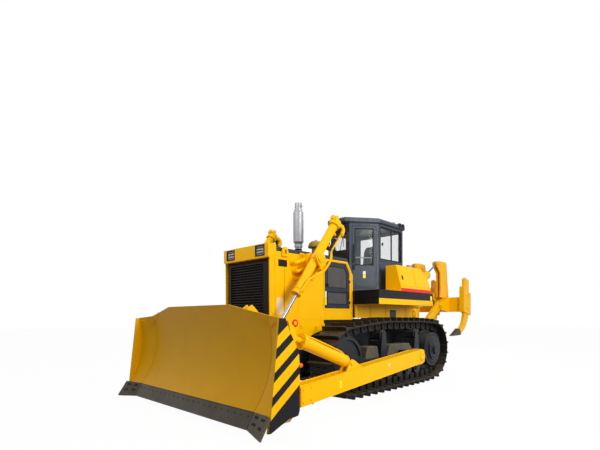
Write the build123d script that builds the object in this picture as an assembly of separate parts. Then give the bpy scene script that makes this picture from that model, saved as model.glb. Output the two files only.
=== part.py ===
from build123d import *
from math import atan2, cos, hypot, pi, radians, sin, sqrt
import os

# Crawler bulldozer, in millimetres.  +X is forward, +Y the operator's left, +Z up.
# Z = 0 is the ground under the track lugs and X = 0 the middle of the overall length.

# ---- driving dimensions ----------------------------------------------------------------
BLADE_TIP_X = 4325.0          # foremost point, the tip of the end bits
REAR_X = -4325.0              # rearmost point, the back of the ripper shank holders

# tracks
TRACK_GAUGE = 2140.0          # between the middles of the two shoe bands
SHOE_WIDTH = 560.0
SHOE_PITCH = 228.6
TRACK_PHASE = 0.5             # the first pin's place along the belt, as a share of a pitch
SHOE_PLATE = 18.0
LUG_HEIGHT = 80.0
LUG_ROOT = 62.0
LUG_TIP = 30.0
LINK_HEIGHT = 146.0           # from the shoe seat to the rail the rollers run on
RAIL_WIDTH = 58.0
RAIL_GAP = 104.0              # clear gap between a track's two link rails
IDLER_X = 1585.0
IDLER_SEAT_R = 590.0          # radius of the shoe seat where the track wraps
SPROCKET_X = -1478.0
SPROCKET_SEAT_R = 600.0
SPROCKET_LIFT = 26.0          # the sprocket's wrap rides this much above the ground run
FIRST_ROLLER_X = 1010.0
LAST_ROLLER_X = -855.0
ROLLERS = 6
LIFT_OFF = 160.0              # the ground run lifts this far behind the last roller
ROLLER_R = 112.0
ROLLER_FLANGE_R = 136.0
CARRIER_X = (505.0, -790.0)
CARRIER_R = 98.0
CARRIER_SEAT_Z = (1372.0, 1362.0)
CARRIER_DROP = 16.0           # the rail's chords pass this much above the carriers' tread
FIT = 0.1                     # gap between pieces that run on each other

# track frames
FRAME_WIDTH = 330.0
FRAME_BOTTOM_Z = 506.0
FRAME_TOP_Z = 664.0
FRAME_FRONT_X = 1085.0
FRAME_REAR_X = -905.0

# hull between the tracks
HULL_HALF = 560.0
HULL_BOTTOM_Z = 500.0
HULL_FRONT_X = 2560.0
HULL_REAR_X = -2060.0
HULL_NOSE_X = 2930.0
UPPER_HALF = 700.0            # the wider body above the track tops
SKIRT_PLATE = 20.0            # plates over the tracks, on the wider body
SKIRT_SEAMS = (-1201.0, -362.0, 232.0)
SEAM = 6.0
UPPER_BOTTOM_Z = 1458.0
FENDER_BOTTOM_Z = 1728.0

# radiator guard and hood
GUARD_FRONT_X = 2944.0
GUARD_REAR_X = 2300.0
GUARD_HALF = 626.0
GUARD_BOTTOM_Z = 1045.0
GUARD_PLATE = 16.0            # side plates that stand ahead of the grille
PANEL_REAR_X = 1620.0         # lower side panels run back to here under the hood
CAP_HALF = 630.0
CAP_LIP = 30.0                # the cap stands this far ahead of the guard
CAP_BOTTOM_Z = 2462.0
CAP_TOP_Z = 2694.0
CAP_REAR_X = 2800.0
HOOD_REAR_X = 745.0
HOOD_CUT = (170.0, 255.0)      # length and height cut from the hood's rear top corner
HOOD_TOP_Z = 2630.0
HOOD_HALF = 630.0
HOOD_WALL = 30.0
HOOD_FLOOR_Z = 1420.0
DOOR_FRONT_X = 1600.0         # engine doors in the hood's sides
DOOR_REAR_X = 842.0
DOOR_BOTTOM_Z = 1640.0
DOOR_TOP_Z = 2535.0
DOOR_GAP = 8.0
MESH_DEEP = 12.0              # the mesh panels lie this deep in the door
DOOR_HINGE_ZS = (1760.0, 2180.0)
DOOR_HINGE_R = 18.0

# stack and air cleaner
STACK_X = 1668.0
STACK_R = 102.0
STACK_TOP_Z = 3722.0
CLEANER_X = 1260.0
CLEANER_R = 165.0
CLEANER_Y = 60.0
CLEANER_TOP_Z = 3085.0

# cab, six-sided in plan
CAB_FRONT_X = 385.0
CAB_FRONT_HALF = 265.0
CAB_SIDE_X = -130.0
CAB_HALF = 672.0
CAB_REAR_X = -1130.0
CAB_BASE_Z = 2040.0
CAB_ROOF_Z = 3540.0           # underside of the roof
ROOF_THICK = 95.0
ROOF_OVERHANG = 38.0
POST = 62.0
GLASS = 8.0
SILL_FRONT_Z = 2930.0
HEAD_FRONT_Z = 3325.0         # a black visor band fills the windscreen above this
SILL_SIDE_Z = 2745.0
ROOF_FRONT_X = 520.0
ROOF_FRONT_HALF = 240.0
HEAD_DROP = 70.0

# fenders and tanks
FENDER_FRONT_X = 757.0
FENDER_REAR_X = -1450.0
FENDER_INNER = 720.0
FENDER_OUTER = 1285.0
FENDER_TOP_Z = 2010.0
TANK_FRONT_X = -140.0
TANK_INNER = 850.0
TANK_OUTER = 1232.0
TANK_TOP_OUTER = 1104.0
TANK_TOP_Z = 2582.0

# blade
BLADE_HALF = 2050.0
BIT_LAP = 15.0                # the end bits reach this far past the side plates
WING = 400.0                  # width of each forward-swept end of the moldboard
TOP_KINK = 872.0              # outside this the top edge falls
BLADE_TOP_Z = 1655.0
WING_TOP_Z = 1462.0
BLADE_PLATE = 30.0
SIDE_PLATE = 36.0
EDGE_BOTTOM_Z = 74.0
EDGE_TOP_Z = 282.0
EDGE_BOTTOM_X = 4187.0
EDGE_TOP_X = 4064.0
EDGE_THICK = 34.0
RIB = 30.0
RIB_Y = 1300.0
BEAM_REAR_X = 3600.0          # back of the blade's lower box
PLATE_REAR_X = 3652.0         # back of the side plates
BIT_TIP_Z = 48.0

# push arms and their trunnions
PIVOT_X = -200.0
PIVOT_Z = 665.0
ARM_CLEAR = 140.0             # between the shoes and a push arm
ARM_WIDTH = 200.0
ARM_REAR_TOP = 135.0          # heights of the arm's upper and lower edges at its ends
ARM_FRONT_TOP_Z = 505.0
ARM_FRONT_LOW_Z = 205.0
ARM_CAP = 28.0                # wall outside the trunnion
TRUNNION_R = 92.0

# lift cylinders
YOKE_X = 2110.0
YOKE_Z = 2494.0
LIFT_Y = 881.0
LIFT_EYE_X = 3368.0
LIFT_EYE_Z = 815.0
LIFT_TUBE_R = 78.0
LIFT_ROD_R = 34.0
LIFT_ABOVE = 840.0            # tube length above the trunnion
LIFT_BELOW = 800.0            # tube length below the trunnion
LIFT_HEAD_R = 108.0           # flange at the tube's upper end
LIFT_PEAK = (3547.0, 1656.0)  # top of the blade's lift lugs, X and Z

# ripper, a four-bar linkage carried at the rear
ARM_PIN = (-2200.0, 1030.0)   # lower arm to tractor, X and Z
ARM_REACH = (-1200.0, 760.0)  # from that pin to the beam's lower pin
LINK_RISE = (-100.0, 1210.0)  # from a lower pin up to the upper one
ARM_Y = 470.0
ARM_THICK = 96.0
LINK_Y = 340.0
LINK_TUBE_R = 118.0
LINK_ROD_R = 46.0
LINK_GLAND = 760.0            # from the upper base pin to the end of its tube
HOIST_Y = 150.0
HOIST_BASE = (-2270.0, 1960.0)
HOIST_EYE = (-3590.0, 2090.0)
HOIST_TUBE_R = 92.0
HOIST_ROD_R = 42.0
HOIST_GLAND = 980.0
HOIST_NECK = 130.0
EYE_WIDTH = 60.0
LIFT_EYE_WIDTH = 74.0
SEAT_FIT = 0.3                # between an eye and the lugs that it stays still in
HINGE_HALF = 32.0             # half the height of a hinge's moving knuckle
LUG = 36.0                    # thickness of lug plates
LUG_GAP = 5.0                 # side clearance of an eye between its lugs
LUG_ROOM = 12.0               # between the lift tube and its yoke
BEAM_HALF = 1015.0
BEAM_FRONT_X = -3880.0
BEAM_BACK_X = -4240.0
BEAM_BOTTOM_Z = 1620.0
BEAM_TOP_Z = 2035.0
SHANK_YS = (955.0, 0.0, -955.0)
SHANK_THICK = 78.0
SHANK_FRONT_X = -3945.0
SHANK_BACK_X = -4255.0
SHANK_TOP_Z = 2590.0
SHANK_BEND_Z = 1640.0         # below this the shanks curve forward
SHANK_IN = (-3860.0, 1340.0)   # on the inner curve, X and Z
SHANK_NOSE = (-3620.0, 1130.0)
SHANK_HEEL = (-3690.0, 1000.0)
SHANK_OUT = (-4105.0, 1290.0)  # on the outer curve
HOLDER_HALF = 66.0
HOLDER_FRONT_X = -3838.0
TOOTH_TIP = (-3140.0, 956.0)
MAST_TOP_Z = 3075.0

# smaller sizes
COVERS = ((630.0, 700.0, 1010.0, 1085.0), (-760.0, -510.0, 240.0, 330.0))   # slanted covers, x at foot and top
COVER_TOP_Z = 900.0
ARM_FRONT_X = 3300.0
BALL_X = 3560.0              # where the arms meet the blade
BALL_Z = 330.0
TILT_FOOT = (2085.0, 724.0)   # tilt cylinder on the arm, X and Z
TILT_HEAD = (3640.0, 1297.0)  # and on the blade
TILT_TUBE_END = 1130.0        # from the foot's pin to the tube's flange
TILT_NECK = 100.0             # from the foot's pin to the tube
TILT_TUBE_R = 95.0
TILT_FLANGE_R = 116.0
TILT_EYE_HALF = 45.0
BALL_EYE_HALF = 50.0
COVER_HALF = 130.0
REAR_TOP_Z = 2500.0           # body behind the cab
REAR_TOP_X = -1780.0
ENGINE_BOTTOM_Z = 1000.0
ENGINE_TOP_Z = 2300.0
ENGINE_HALF = 330.0
ENGINE_REAR_X = 1000.0
ENGINE_FRONT_X = 2150.0
EQUALIZER_X = 760.0
GRILLE_DEEP = 110.0
GRILLE_BOTTOM_Z = 1085.0
GRILLE_BEVEL = (134.0, 46.0)   # width of the frame's sloping border and its rise
GRILLE_LEVEL_SHARE = 0.56     # the border's level parts are this much as deep
GRILLE_FIT = 2.0
LOUVRE_LAP = 8.0
GRILLE_TOP_Z = 2460.0
GRILLE_PITCH = 47.0
TOW_X = 3020.0
TOW_Z = 800.0
TOW_BORE_R = 28.0
LAMP_Y = 415.0
LAMP_HALF = 118.0
LAMP_TALL = 86.0
LAMP_WELL = 54.0
LAMP_Z = 2588.0
COVER_RIM = 50.0
TRUNNION_PIN_R = 52.0
PIN_R = 36.0
YOKE_SWEEP = (62.0, 53.0, 45.0, 37.0, 28.0)   # angles the lift tube passes, for its clearance
COVER_TOP_HALF = 590.0
DOOR_CUT_FRONT = 90.0
DOOR_RIM = 60.0               # between the hood's slope and the door's sloping edge
DOOR_BORDER = 80.0            # between the door's edge and its mesh
DOOR_MID_Z = 2000.0
CAB_DOOR_EDGE = 52.0
CAB_DOOR_GAP = 7.0
CAB_HINGE_ZS = (2280.0, 3300.0)
CAB_HINGE_R = 15.0
CAB_MOUNTS = ((-1000.0, 480.0), (60.0, 380.0))   # x and y of the left pair
SEAT_X = -560.0
WORK_LAMP_Y = 480.0


# ---- helpers ---------------------------------------------------------------------------
def block(x0, x1, y0, y1, z0, z1):
    """A box between two corners."""
    size = Box(abs(x1 - x0), abs(y1 - y0), abs(z1 - z0))
    return Pos((x0 + x1) / 2, (y0 + y1) / 2, (z0 + z1) / 2) * size


def polygon_face(points):
    return Face(Wire.make_polygon([Vector(*p) for p in points], close=True))


def side_slab(points, y0, y1):
    """An outline of (x, z) points, from y0 to y1."""
    face = polygon_face([(x, y0, z) for x, z in points])
    return extrude(face, amount=y1 - y0, dir=(0, 1, 0))


def plan_slab(points, z0, z1):
    """An outline of (x, y) points, from z0 to z1."""
    face = polygon_face([(x, y, z0) for x, y in points])
    return extrude(face, amount=z1 - z0, dir=(0, 0, 1))


def front_slab(points, x0, x1):
    """An outline of (y, z) points, from x0 to x1."""
    face = polygon_face([(x0, y, z) for y, z in points])
    return extrude(face, amount=x1 - x0, dir=(1, 0, 0))


def bar(start, end, radius):
    """A round bar between two points."""
    start, end = Vector(*start), Vector(*end)
    along = end - start
    plane = Plane(origin=start, z_dir=along)
    return extrude(plane * Circle(radius), amount=along.length)


def turned(x, y, profile):
    """A solid turned about an upright axis, from (radius, z) points."""
    face = polygon_face([(r, 0, z) for r, z in profile])
    return Pos(x, y, 0) * revolve(face, axis=Axis.Z)


def cross_pin(x, z, y0, y1, radius):
    return bar((x, y0, z), (x, y1, z), radius)


def mirrored(shape):
    return mirror(shape, about=Plane.XZ)


def both(shape):
    return [shape, mirrored(shape)]


def fuse(shapes):
    result = shapes[0]
    for shape in shapes[1:]:
        result = result + shape
    return result


def write(name, shape):
    solids = []
    for item in (shape if isinstance(shape, (list, tuple)) else [shape]):
        solids.extend(item.solids())
    body = Compound(children=solids) if len(solids) > 1 else solids[0]
    body.label = name
    export_step(body, f"parts/{name}.step")


def toward(start, end, distance):
    """The point that lies this far from start on the line to end, in X and Z."""
    length = hypot(end[0] - start[0], end[1] - start[1])
    return (start[0] + (end[0] - start[0]) * distance / length,
            start[1] + (end[1] - start[1]) * distance / length)


def lug_pair(outline, y, inner_half):
    """Two plates either side of an eye centred on y."""
    return [side_slab(outline, y - inner_half - LUG, y - inner_half),
            side_slab(outline, y + inner_half, y + inner_half + LUG)]


class Hinge:
    """An upright hinge: fixed knuckles with their pin, the moving knuckle, and the room each needs."""

    def __init__(self, x, y, z, radius):
        top, bottom = z + HINGE_HALF, z - HINGE_HALF
        self.fixed = bar((x, y, bottom - HINGE_HALF), (x, y, bottom - SEAT_FIT), radius)
        self.fixed += bar((x, y, top + SEAT_FIT), (x, y, top + HINGE_HALF), radius)
        self.fixed += bar((x, y, bottom - HINGE_HALF), (x, y, top + HINGE_HALF), radius / 2)
        self.moving = bar((x, y, bottom), (x, y, top), radius)
        self.pin_hole = bar((x, y, bottom), (x, y, top), radius / 2 + FIT)
        self.fixed_room = bar((x, y, bottom - HINGE_HALF - 6), (x, y, top + HINGE_HALF + 6), radius + 6)
        self.moving_room = bar((x, y, bottom - SEAT_FIT), (x, y, top + SEAT_FIT), radius + 6)

    def on_frame(self, frame):
        return frame - self.moving_room + self.fixed

    def on_door(self, door, leaf):
        return door - self.fixed_room + self.moving + leaf - self.pin_hole


# ---- tracks ----------------------------------------------------------------------------
SEAT_Z = LUG_HEIGHT + SHOE_PLATE
TRACK_Y = TRACK_GAUGE / 2
ARM_INNER = TRACK_Y + SHOE_WIDTH / 2 + ARM_CLEAR
ARM_OUTER = ARM_INNER + ARM_WIDTH
TILT_Y = (ARM_INNER + ARM_OUTER) / 2
WING_KINK = BLADE_HALF - WING
IDLER_Z = SEAT_Z + IDLER_SEAT_R
SPROCKET_Z = SEAT_Z + SPROCKET_SEAT_R + SPROCKET_LIFT
RAIL_Z = SEAT_Z + LINK_HEIGHT
RAIL_HALF = RAIL_GAP / 2
ROLLER_Z = RAIL_Z + ROLLER_R + FIT


def wrap_circles():
    """Circles that the shoe seat wraps, in order, as (x, z, radius)."""
    carriers = [(x, z - LINK_HEIGHT - CARRIER_R, LINK_HEIGHT + CARRIER_R)
                for x, z in zip(CARRIER_X, CARRIER_SEAT_Z)]
    return [(IDLER_X, IDLER_Z, IDLER_SEAT_R), carriers[0], carriers[1],
            (SPROCKET_X, SPROCKET_Z, SPROCKET_SEAT_R),
            (LAST_ROLLER_X - LIFT_OFF, SEAT_Z + LINK_HEIGHT + ROLLER_R, LINK_HEIGHT + ROLLER_R)]


def belt_path(circles):
    """Straight runs and arcs of a belt round the circles, anticlockwise seen from -Y."""
    count = len(circles)
    runs = []
    for i in range(count):
        x0, z0, r0 = circles[i]
        x1, z1, r1 = circles[(i + 1) % count]
        gap = hypot(x1 - x0, z1 - z0)
        ux, uz = (x1 - x0) / gap, (z1 - z0) / gap
        lean = (r0 - r1) / gap
        side = sqrt(1 - lean * lean)
        nx, nz = ux * lean + uz * side, uz * lean - ux * side
        runs.append(((x0 + r0 * nx, z0 + r0 * nz), (x1 + r1 * nx, z1 + r1 * nz), atan2(nz, nx)))
    return runs


def belt_points(circles):
    """Pin points, evenly spaced along the belt."""
    runs = belt_path(circles)
    count = len(circles)
    pieces = []                                  # (length, function of distance)
    for i in range(count):
        start, end, angle = runs[i]
        x, z, r = circles[(i + 1) % count]
        turn = (runs[(i + 1) % count][2] - angle) % (2 * pi)
        straight = hypot(end[0] - start[0], end[1] - start[1])
        pieces.append((straight, lambda s, a=start, b=end, n=straight:
                       (a[0] + (b[0] - a[0]) * s / n, a[1] + (b[1] - a[1]) * s / n)))
        pieces.append((turn * r, lambda s, x=x, z=z, r=r, a=angle:
                       (x + r * cos(a + s / r), z + r * sin(a + s / r))))
    total = sum(length for length, _ in pieces)
    shoes = round(total / SHOE_PITCH)
    points = []
    for k in range(shoes):
        s = total * (k + TRACK_PHASE) / shoes
        for length, place in pieces:
            if s <= length:
                points.append(place(s))
                break
            s -= length
    return points


def offset_points(points, inward):
    """Pin points moved in from the shoe seat by this much."""
    moved = []
    count = len(points)
    for i, (x, z) in enumerate(points):
        ax, az = points[i - 1]
        bx, bz = points[(i + 1) % count]
        tx, tz = bx - ax, bz - az
        size = hypot(tx, tz)
        moved.append((x - tz / size * inward, z + tx / size * inward))
    return moved


def shoe_outline(points):
    """The outer outline of the band: a flat shoe and one tall lug for each pitch."""
    # along the shoe as a share of its pitch, and height above the seat
    steps = ((0.02, SHOE_PLATE), (0.60, SHOE_PLATE), (0.68, SHOE_PLATE + LUG_HEIGHT),
             (0.68 + LUG_TIP / SHOE_PITCH, SHOE_PLATE + LUG_HEIGHT),
             (0.60 + LUG_ROOT * 1.6 / SHOE_PITCH, SHOE_PLATE))
    outline = []
    count = len(points)
    for i, (ax, az) in enumerate(points):
        bx, bz = points[(i + 1) % count]
        pitch = hypot(bx - ax, bz - az)
        tx, tz = (bx - ax) / pitch, (bz - az) / pitch
        for share, height in steps:
            outline.append((ax + tx * share * pitch + tz * height,
                            az + tz * share * pitch - tx * height))
    return outline


def track():
    points = belt_points(wrap_circles())
    band = side_slab(shoe_outline(points), TRACK_Y - SHOE_WIDTH / 2, TRACK_Y + SHOE_WIDTH / 2)
    band -= side_slab(points, TRACK_Y - SHOE_WIDTH / 2 - 1, TRACK_Y + SHOE_WIDTH / 2 + 1)
    inner = offset_points(points, LINK_HEIGHT)
    for side in (-1, 1):
        near = TRACK_Y + side * RAIL_HALF
        far = TRACK_Y + side * (RAIL_HALF + RAIL_WIDTH)
        low, high = min(near, far), max(near, far)
        band += side_slab(points, low, high) - side_slab(inner, low - 1, high + 1)
    return band


def idler():
    step = SHOE_PITCH / IDLER_SEAT_R
    tread = (IDLER_SEAT_R - LINK_HEIGHT) * cos(step / 2) - 2
    half = RAIL_HALF + RAIL_WIDTH
    wheel = cross_pin(IDLER_X, IDLER_Z, TRACK_Y - half, TRACK_Y + half, tread)
    wheel += cross_pin(IDLER_X, IDLER_Z, TRACK_Y - RAIL_HALF + 6, TRACK_Y + RAIL_HALF - 6, tread + 36)
    for side in (-1, 1):
        face = TRACK_Y + side * half
        inner = TRACK_Y + side * (half - 34)
        wheel -= cross_pin(IDLER_X, IDLER_Z, min(face + side, inner), max(face + side, inner), tread - 62)
    wheel += cross_pin(IDLER_X, IDLER_Z, TRACK_Y - half - 26, TRACK_Y + half + 26, 120)
    return wheel


def sprocket():
    """A toothed ring between the link rails, on the final drive's hub."""
    tip = SPROCKET_SEAT_R - LINK_HEIGHT / 2
    root = tip - 52
    teeth = round(2 * pi * tip / SHOE_PITCH) * 2
    outline = []
    for k in range(teeth):
        for share, r in ((-0.30, root), (-0.14, tip), (0.14, tip), (0.30, root)):
            a = 2 * pi * (k + share) / teeth
            outline.append((SPROCKET_X + r * cos(a), SPROCKET_Z + r * sin(a)))
    ring = side_slab(outline, TRACK_Y - RAIL_HALF + 8, TRACK_Y + RAIL_HALF - 8)
    return ring


def roller(x, z, tread, flange):
    half = RAIL_HALF + RAIL_WIDTH
    wheel = cross_pin(x, z, TRACK_Y - half, TRACK_Y + half, tread)
    for side in (-1, 1):
        near = TRACK_Y + side * (half + 3)
        far = TRACK_Y + side * (half + 27)
        wheel += cross_pin(x, z, min(near, far), max(near, far), flange)
    wheel += cross_pin(x, z, TRACK_Y - half - 27, TRACK_Y + half + 27, tread * 0.62)
    return wheel


ROLLER_XS = [FIRST_ROLLER_X + (LAST_ROLLER_X - FIRST_ROLLER_X) * k / (ROLLERS - 1)
             for k in range(ROLLERS)]


def track_frame():
    """Box beam with a fork for the idler, hangers for the rollers and carrier posts."""
    half = FRAME_WIDTH / 2
    cheek = RAIL_HALF + RAIL_WIDTH + 27 + FIT      # inner face of hangers and forks
    low, high = TRACK_Y - half, TRACK_Y + half
    beam = side_slab([(FRAME_REAR_X, FRAME_BOTTOM_Z), (FRAME_REAR_X, FRAME_TOP_Z - 30),
                      (FRAME_REAR_X + 120, FRAME_TOP_Z), (FRAME_FRONT_X, FRAME_TOP_Z),
                      (FRAME_FRONT_X, FRAME_BOTTOM_Z)], low, high)
    fork = [(FRAME_FRONT_X - 20, FRAME_BOTTOM_Z), (IDLER_X - 40, FRAME_BOTTOM_Z + 60),
            (IDLER_X + 110, IDLER_Z - 110), (IDLER_X + 130, IDLER_Z + 90),
            (IDLER_X - 120, IDLER_Z + 120), (FRAME_FRONT_X - 20, FRAME_TOP_Z)]
    hanger_top = FRAME_BOTTOM_Z + 10
    for near, far in ((low, TRACK_Y - cheek), (TRACK_Y + cheek, high)):
        beam += side_slab(fork, near, far)
        for x in ROLLER_XS:
            beam += block(x - 75, x + 75, near, far, ROLLER_Z - 60, hanger_top)
        for x, seat in zip(CARRIER_X, CARRIER_SEAT_Z):
            axis = seat - LINK_HEIGHT - CARRIER_R
            beam += side_slab([(x - 120, FRAME_TOP_Z - 10), (x - 62, axis + 40), (x + 62, axis + 40),
                               (x + 120, FRAME_TOP_Z - 10)], near, far)
    for x, seat in zip(CARRIER_X, CARRIER_SEAT_Z):
        floor = seat - LINK_HEIGHT - 2 * CARRIER_R - 40
        beam += side_slab([(x - 120, FRAME_TOP_Z - 10), (x - 70, floor), (x + 70, floor),
                           (x + 120, FRAME_TOP_Z - 10)], low, high)
    for x0, x1, x2, x3 in COVERS:
        beam += side_slab([(x0, FRAME_TOP_Z - 10), (x1, COVER_TOP_Z), (x2, COVER_TOP_Z),
                           (x3, FRAME_TOP_Z - 10)], TRACK_Y - COVER_HALF, TRACK_Y + COVER_HALF)
    return beam


def track_rollers():
    wheels = [roller(x, ROLLER_Z, ROLLER_R, ROLLER_FLANGE_R) for x in ROLLER_XS]
    for x, seat in zip(CARRIER_X, CARRIER_SEAT_Z):
        wheels.append(roller(x, seat - LINK_HEIGHT - CARRIER_R - CARRIER_DROP, CARRIER_R, CARRIER_R + 14))
    return wheels


def final_drive():
    """Housing from the hull to the sprocket, and the cover outside it."""
    inner = bar((SPROCKET_X, HULL_HALF, SPROCKET_Z), (SPROCKET_X, TRACK_Y - RAIL_HALF + 8, SPROCKET_Z), 400)
    face = TRACK_Y + RAIL_HALF - 8
    cover = bar((SPROCKET_X, face, SPROCKET_Z), (SPROCKET_X, face + 150, SPROCKET_Z), 385)
    cover += bar((SPROCKET_X, face + 150, SPROCKET_Z), (SPROCKET_X, face + 215, SPROCKET_Z), 250)
    cover += bar((SPROCKET_X, face + 215, SPROCKET_Z), (SPROCKET_X, face + 265, SPROCKET_Z), 120)
    return [inner, cover]


# ---- hull ------------------------------------------------------------------------------
def main_frame():
    """Hull between the tracks, open above for the engine, with a nose under the guard."""
    hull = side_slab([(HULL_NOSE_X, GUARD_BOTTOM_Z), (HULL_NOSE_X, HULL_BOTTOM_Z + 200),
                      (HULL_NOSE_X - 180, HULL_BOTTOM_Z + 60), (HULL_FRONT_X - 160, HULL_BOTTOM_Z),
                      (HULL_REAR_X + 160, HULL_BOTTOM_Z), (HULL_REAR_X, HULL_BOTTOM_Z + 160),
                      (HULL_REAR_X, FENDER_BOTTOM_Z), (FENDER_REAR_X, FENDER_BOTTOM_Z),
                      (FENDER_REAR_X, HOOD_FLOOR_Z), (HULL_FRONT_X, HOOD_FLOOR_Z),
                      (HULL_FRONT_X, GUARD_BOTTOM_Z)], -HULL_HALF, HULL_HALF)
    hull -= block(HOOD_REAR_X, HULL_FRONT_X + 1, -HULL_HALF + 60, HULL_HALF - 60,
                  ENGINE_BOTTOM_Z, HOOD_FLOOR_Z + 1)
    half = UPPER_HALF - SKIRT_PLATE
    hull += block(FENDER_REAR_X, HOOD_REAR_X, -half, half, UPPER_BOTTOM_Z, FENDER_BOTTOM_Z)
    return hull


def skirts():
    """Plates on the wider body above the tracks, with a seam between each two."""
    edges = [FENDER_REAR_X] + list(SKIRT_SEAMS) + [HOOD_REAR_X]
    plates = []
    for rear, front in zip(edges, edges[1:]):
        plates += both(block(rear + SEAM / 2, front - SEAM / 2, UPPER_HALF - SKIRT_PLATE, UPPER_HALF,
                             UPPER_BOTTOM_Z, FENDER_BOTTOM_Z))
    return plates


def rear_housing():
    """Body behind the cab, sloping down to the ripper."""
    return side_slab([(CAB_REAR_X - 30, FENDER_BOTTOM_Z), (HULL_REAR_X + 30, FENDER_BOTTOM_Z),
                      (HULL_REAR_X + 30, REAR_TOP_Z - 260), (REAR_TOP_X, REAR_TOP_Z),
                      (CAB_REAR_X - 30, REAR_TOP_Z)], -UPPER_HALF, UPPER_HALF)


def engine_block():
    return block(ENGINE_REAR_X, ENGINE_FRONT_X, -ENGINE_HALF, ENGINE_HALF, ENGINE_BOTTOM_Z, ENGINE_TOP_Z)


def equalizer_bar():
    return block(EQUALIZER_X - 110, EQUALIZER_X + 110, -(TRACK_Y - FRAME_WIDTH / 2), TRACK_Y - FRAME_WIDTH / 2,
                 HULL_BOTTOM_Z - 130, HULL_BOTTOM_Z)


def trunnion():
    """Shaft from the track frame out into the push arm, and the shaft from hull to frame."""
    stub = cross_pin(PIVOT_X, PIVOT_Z, TRACK_Y + FRAME_WIDTH / 2, ARM_OUTER - ARM_CAP - LUG_GAP, TRUNNION_R)
    stub += block(PIVOT_X - 150, PIVOT_X + 150, TRACK_Y + FRAME_WIDTH / 2, TRACK_Y + SHOE_WIDTH / 2 + 60,
                  FRAME_BOTTOM_Z + 40, FRAME_TOP_Z + 120)
    inner = cross_pin(PIVOT_X - 500, FRAME_BOTTOM_Z + 90, HULL_HALF, TRACK_Y - FRAME_WIDTH / 2, 85)
    return [stub, inner]


def tow_clevis():
    """Pull hook on the hull's nose: two level plates with one upright pin bore."""
    pieces = [block(HULL_NOSE_X, HULL_NOSE_X + 20, -130, 130, TOW_Z - 85, TOW_Z + 85)]
    for z in (TOW_Z - 85, TOW_Z + 35):
        pieces.append(plan_slab([(HULL_NOSE_X + 1, -110), (TOW_X + 20, -70), (TOW_X + 60, -30), (TOW_X + 60, 30),
                                 (TOW_X + 20, 70), (HULL_NOSE_X + 1, 110)], z, z + 50))
    return fuse(pieces) - bar((TOW_X, 0, TOW_Z - 90), (TOW_X, 0, TOW_Z + 90), TOW_BORE_R)


# ---- front and hood --------------------------------------------------------------------
def radiator_guard():
    """Body with a deep cap over it, a recess for the grille, and the lower side panels."""
    guard = block(GUARD_REAR_X, GUARD_FRONT_X, -GUARD_HALF, GUARD_HALF, HOOD_FLOOR_Z, CAP_BOTTOM_Z)
    guard += block(HULL_FRONT_X, GUARD_FRONT_X, -GUARD_HALF, GUARD_HALF, GUARD_BOTTOM_Z, HOOD_FLOOR_Z)
    inner = GUARD_HALF - GUARD_PLATE
    guard -= block(GUARD_FRONT_X - GRILLE_DEEP, GUARD_FRONT_X + 1, -inner, inner, GRILLE_BOTTOM_Z, GRILLE_TOP_Z)
    cap_front = GUARD_FRONT_X + CAP_LIP
    cap = block(CAP_REAR_X, cap_front, -CAP_HALF, CAP_HALF, CAP_BOTTOM_Z, CAP_TOP_Z)
    for y in (-LAMP_Y, LAMP_Y):
        cap -= block(cap_front - LAMP_WELL, cap_front + 1, y - LAMP_HALF, y + LAMP_HALF,
                     LAMP_Z - LAMP_TALL, LAMP_Z + LAMP_TALL)
    guard += cap
    guard += block(GUARD_REAR_X, CAP_REAR_X, -GUARD_HALF, GUARD_HALF, CAP_BOTTOM_Z, HOOD_TOP_Z - COVER_RIM)
    low = GUARD_BOTTOM_Z
    panel = side_slab([(HULL_FRONT_X, low), (HULL_FRONT_X, HOOD_FLOOR_Z), (PANEL_REAR_X, HOOD_FLOOR_Z),
                       (PANEL_REAR_X, low + 190), (PANEL_REAR_X + 280, low + 120), (PANEL_REAR_X + 530, low)],
                      HULL_HALF, GUARD_HALF)
    for side in both(panel):
        guard += side
    return guard


def radiator_grille():
    """Grille door: a border that slopes up to its inner edge, round level louvres."""
    back = GUARD_FRONT_X - GRILLE_DEEP
    width, rise = GRILLE_BEVEL
    front = GUARD_FRONT_X - 4
    edge = front - rise
    half = GUARD_HALF - GUARD_PLATE - GRILLE_FIT
    low, high = GRILLE_BOTTOM_Z + GRILLE_FIT, GRILLE_TOP_Z - GRILLE_FIT
    depth = width * GRILLE_LEVEL_SHARE
    outer = polygon_face([(edge, -half, low), (edge, half, low), (edge, half, high), (edge, -half, high)])
    inner = polygon_face([(front, -half + width, low + depth), (front, half - width, low + depth),
                          (front, half - width, high - depth), (front, -half + width, high - depth)])
    frame = block(back, edge, -half, half, low, high) + loft([outer, inner], ruled=True)
    half -= width + LOUVRE_LAP
    low += depth + LOUVRE_LAP
    high -= depth + LOUVRE_LAP
    frame -= block(back + 20, front + 1, -half, half, low, high)
    count = round((high - low) / GRILLE_PITCH)
    louvres = []
    for k in range(count):
        z = low + (k + 0.5) * (high - low) / count
        louvres.append(side_slab([(back + 40, z + 14), (front - 12, z - 12), (front - 12, z), (back + 40, z + 24)],
                                 -half - LOUVRE_LAP / 2, half + LOUVRE_LAP / 2))
    return frame.fuse(*louvres)


def headlamps():
    front = GUARD_FRONT_X + CAP_LIP
    gap = 6
    return [block(front - LAMP_WELL, front - 12, y - LAMP_HALF + gap, y + LAMP_HALF - gap,
                  LAMP_Z - LAMP_TALL + gap, LAMP_Z + LAMP_TALL - gap) for y in (-LAMP_Y, LAMP_Y)]


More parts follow.
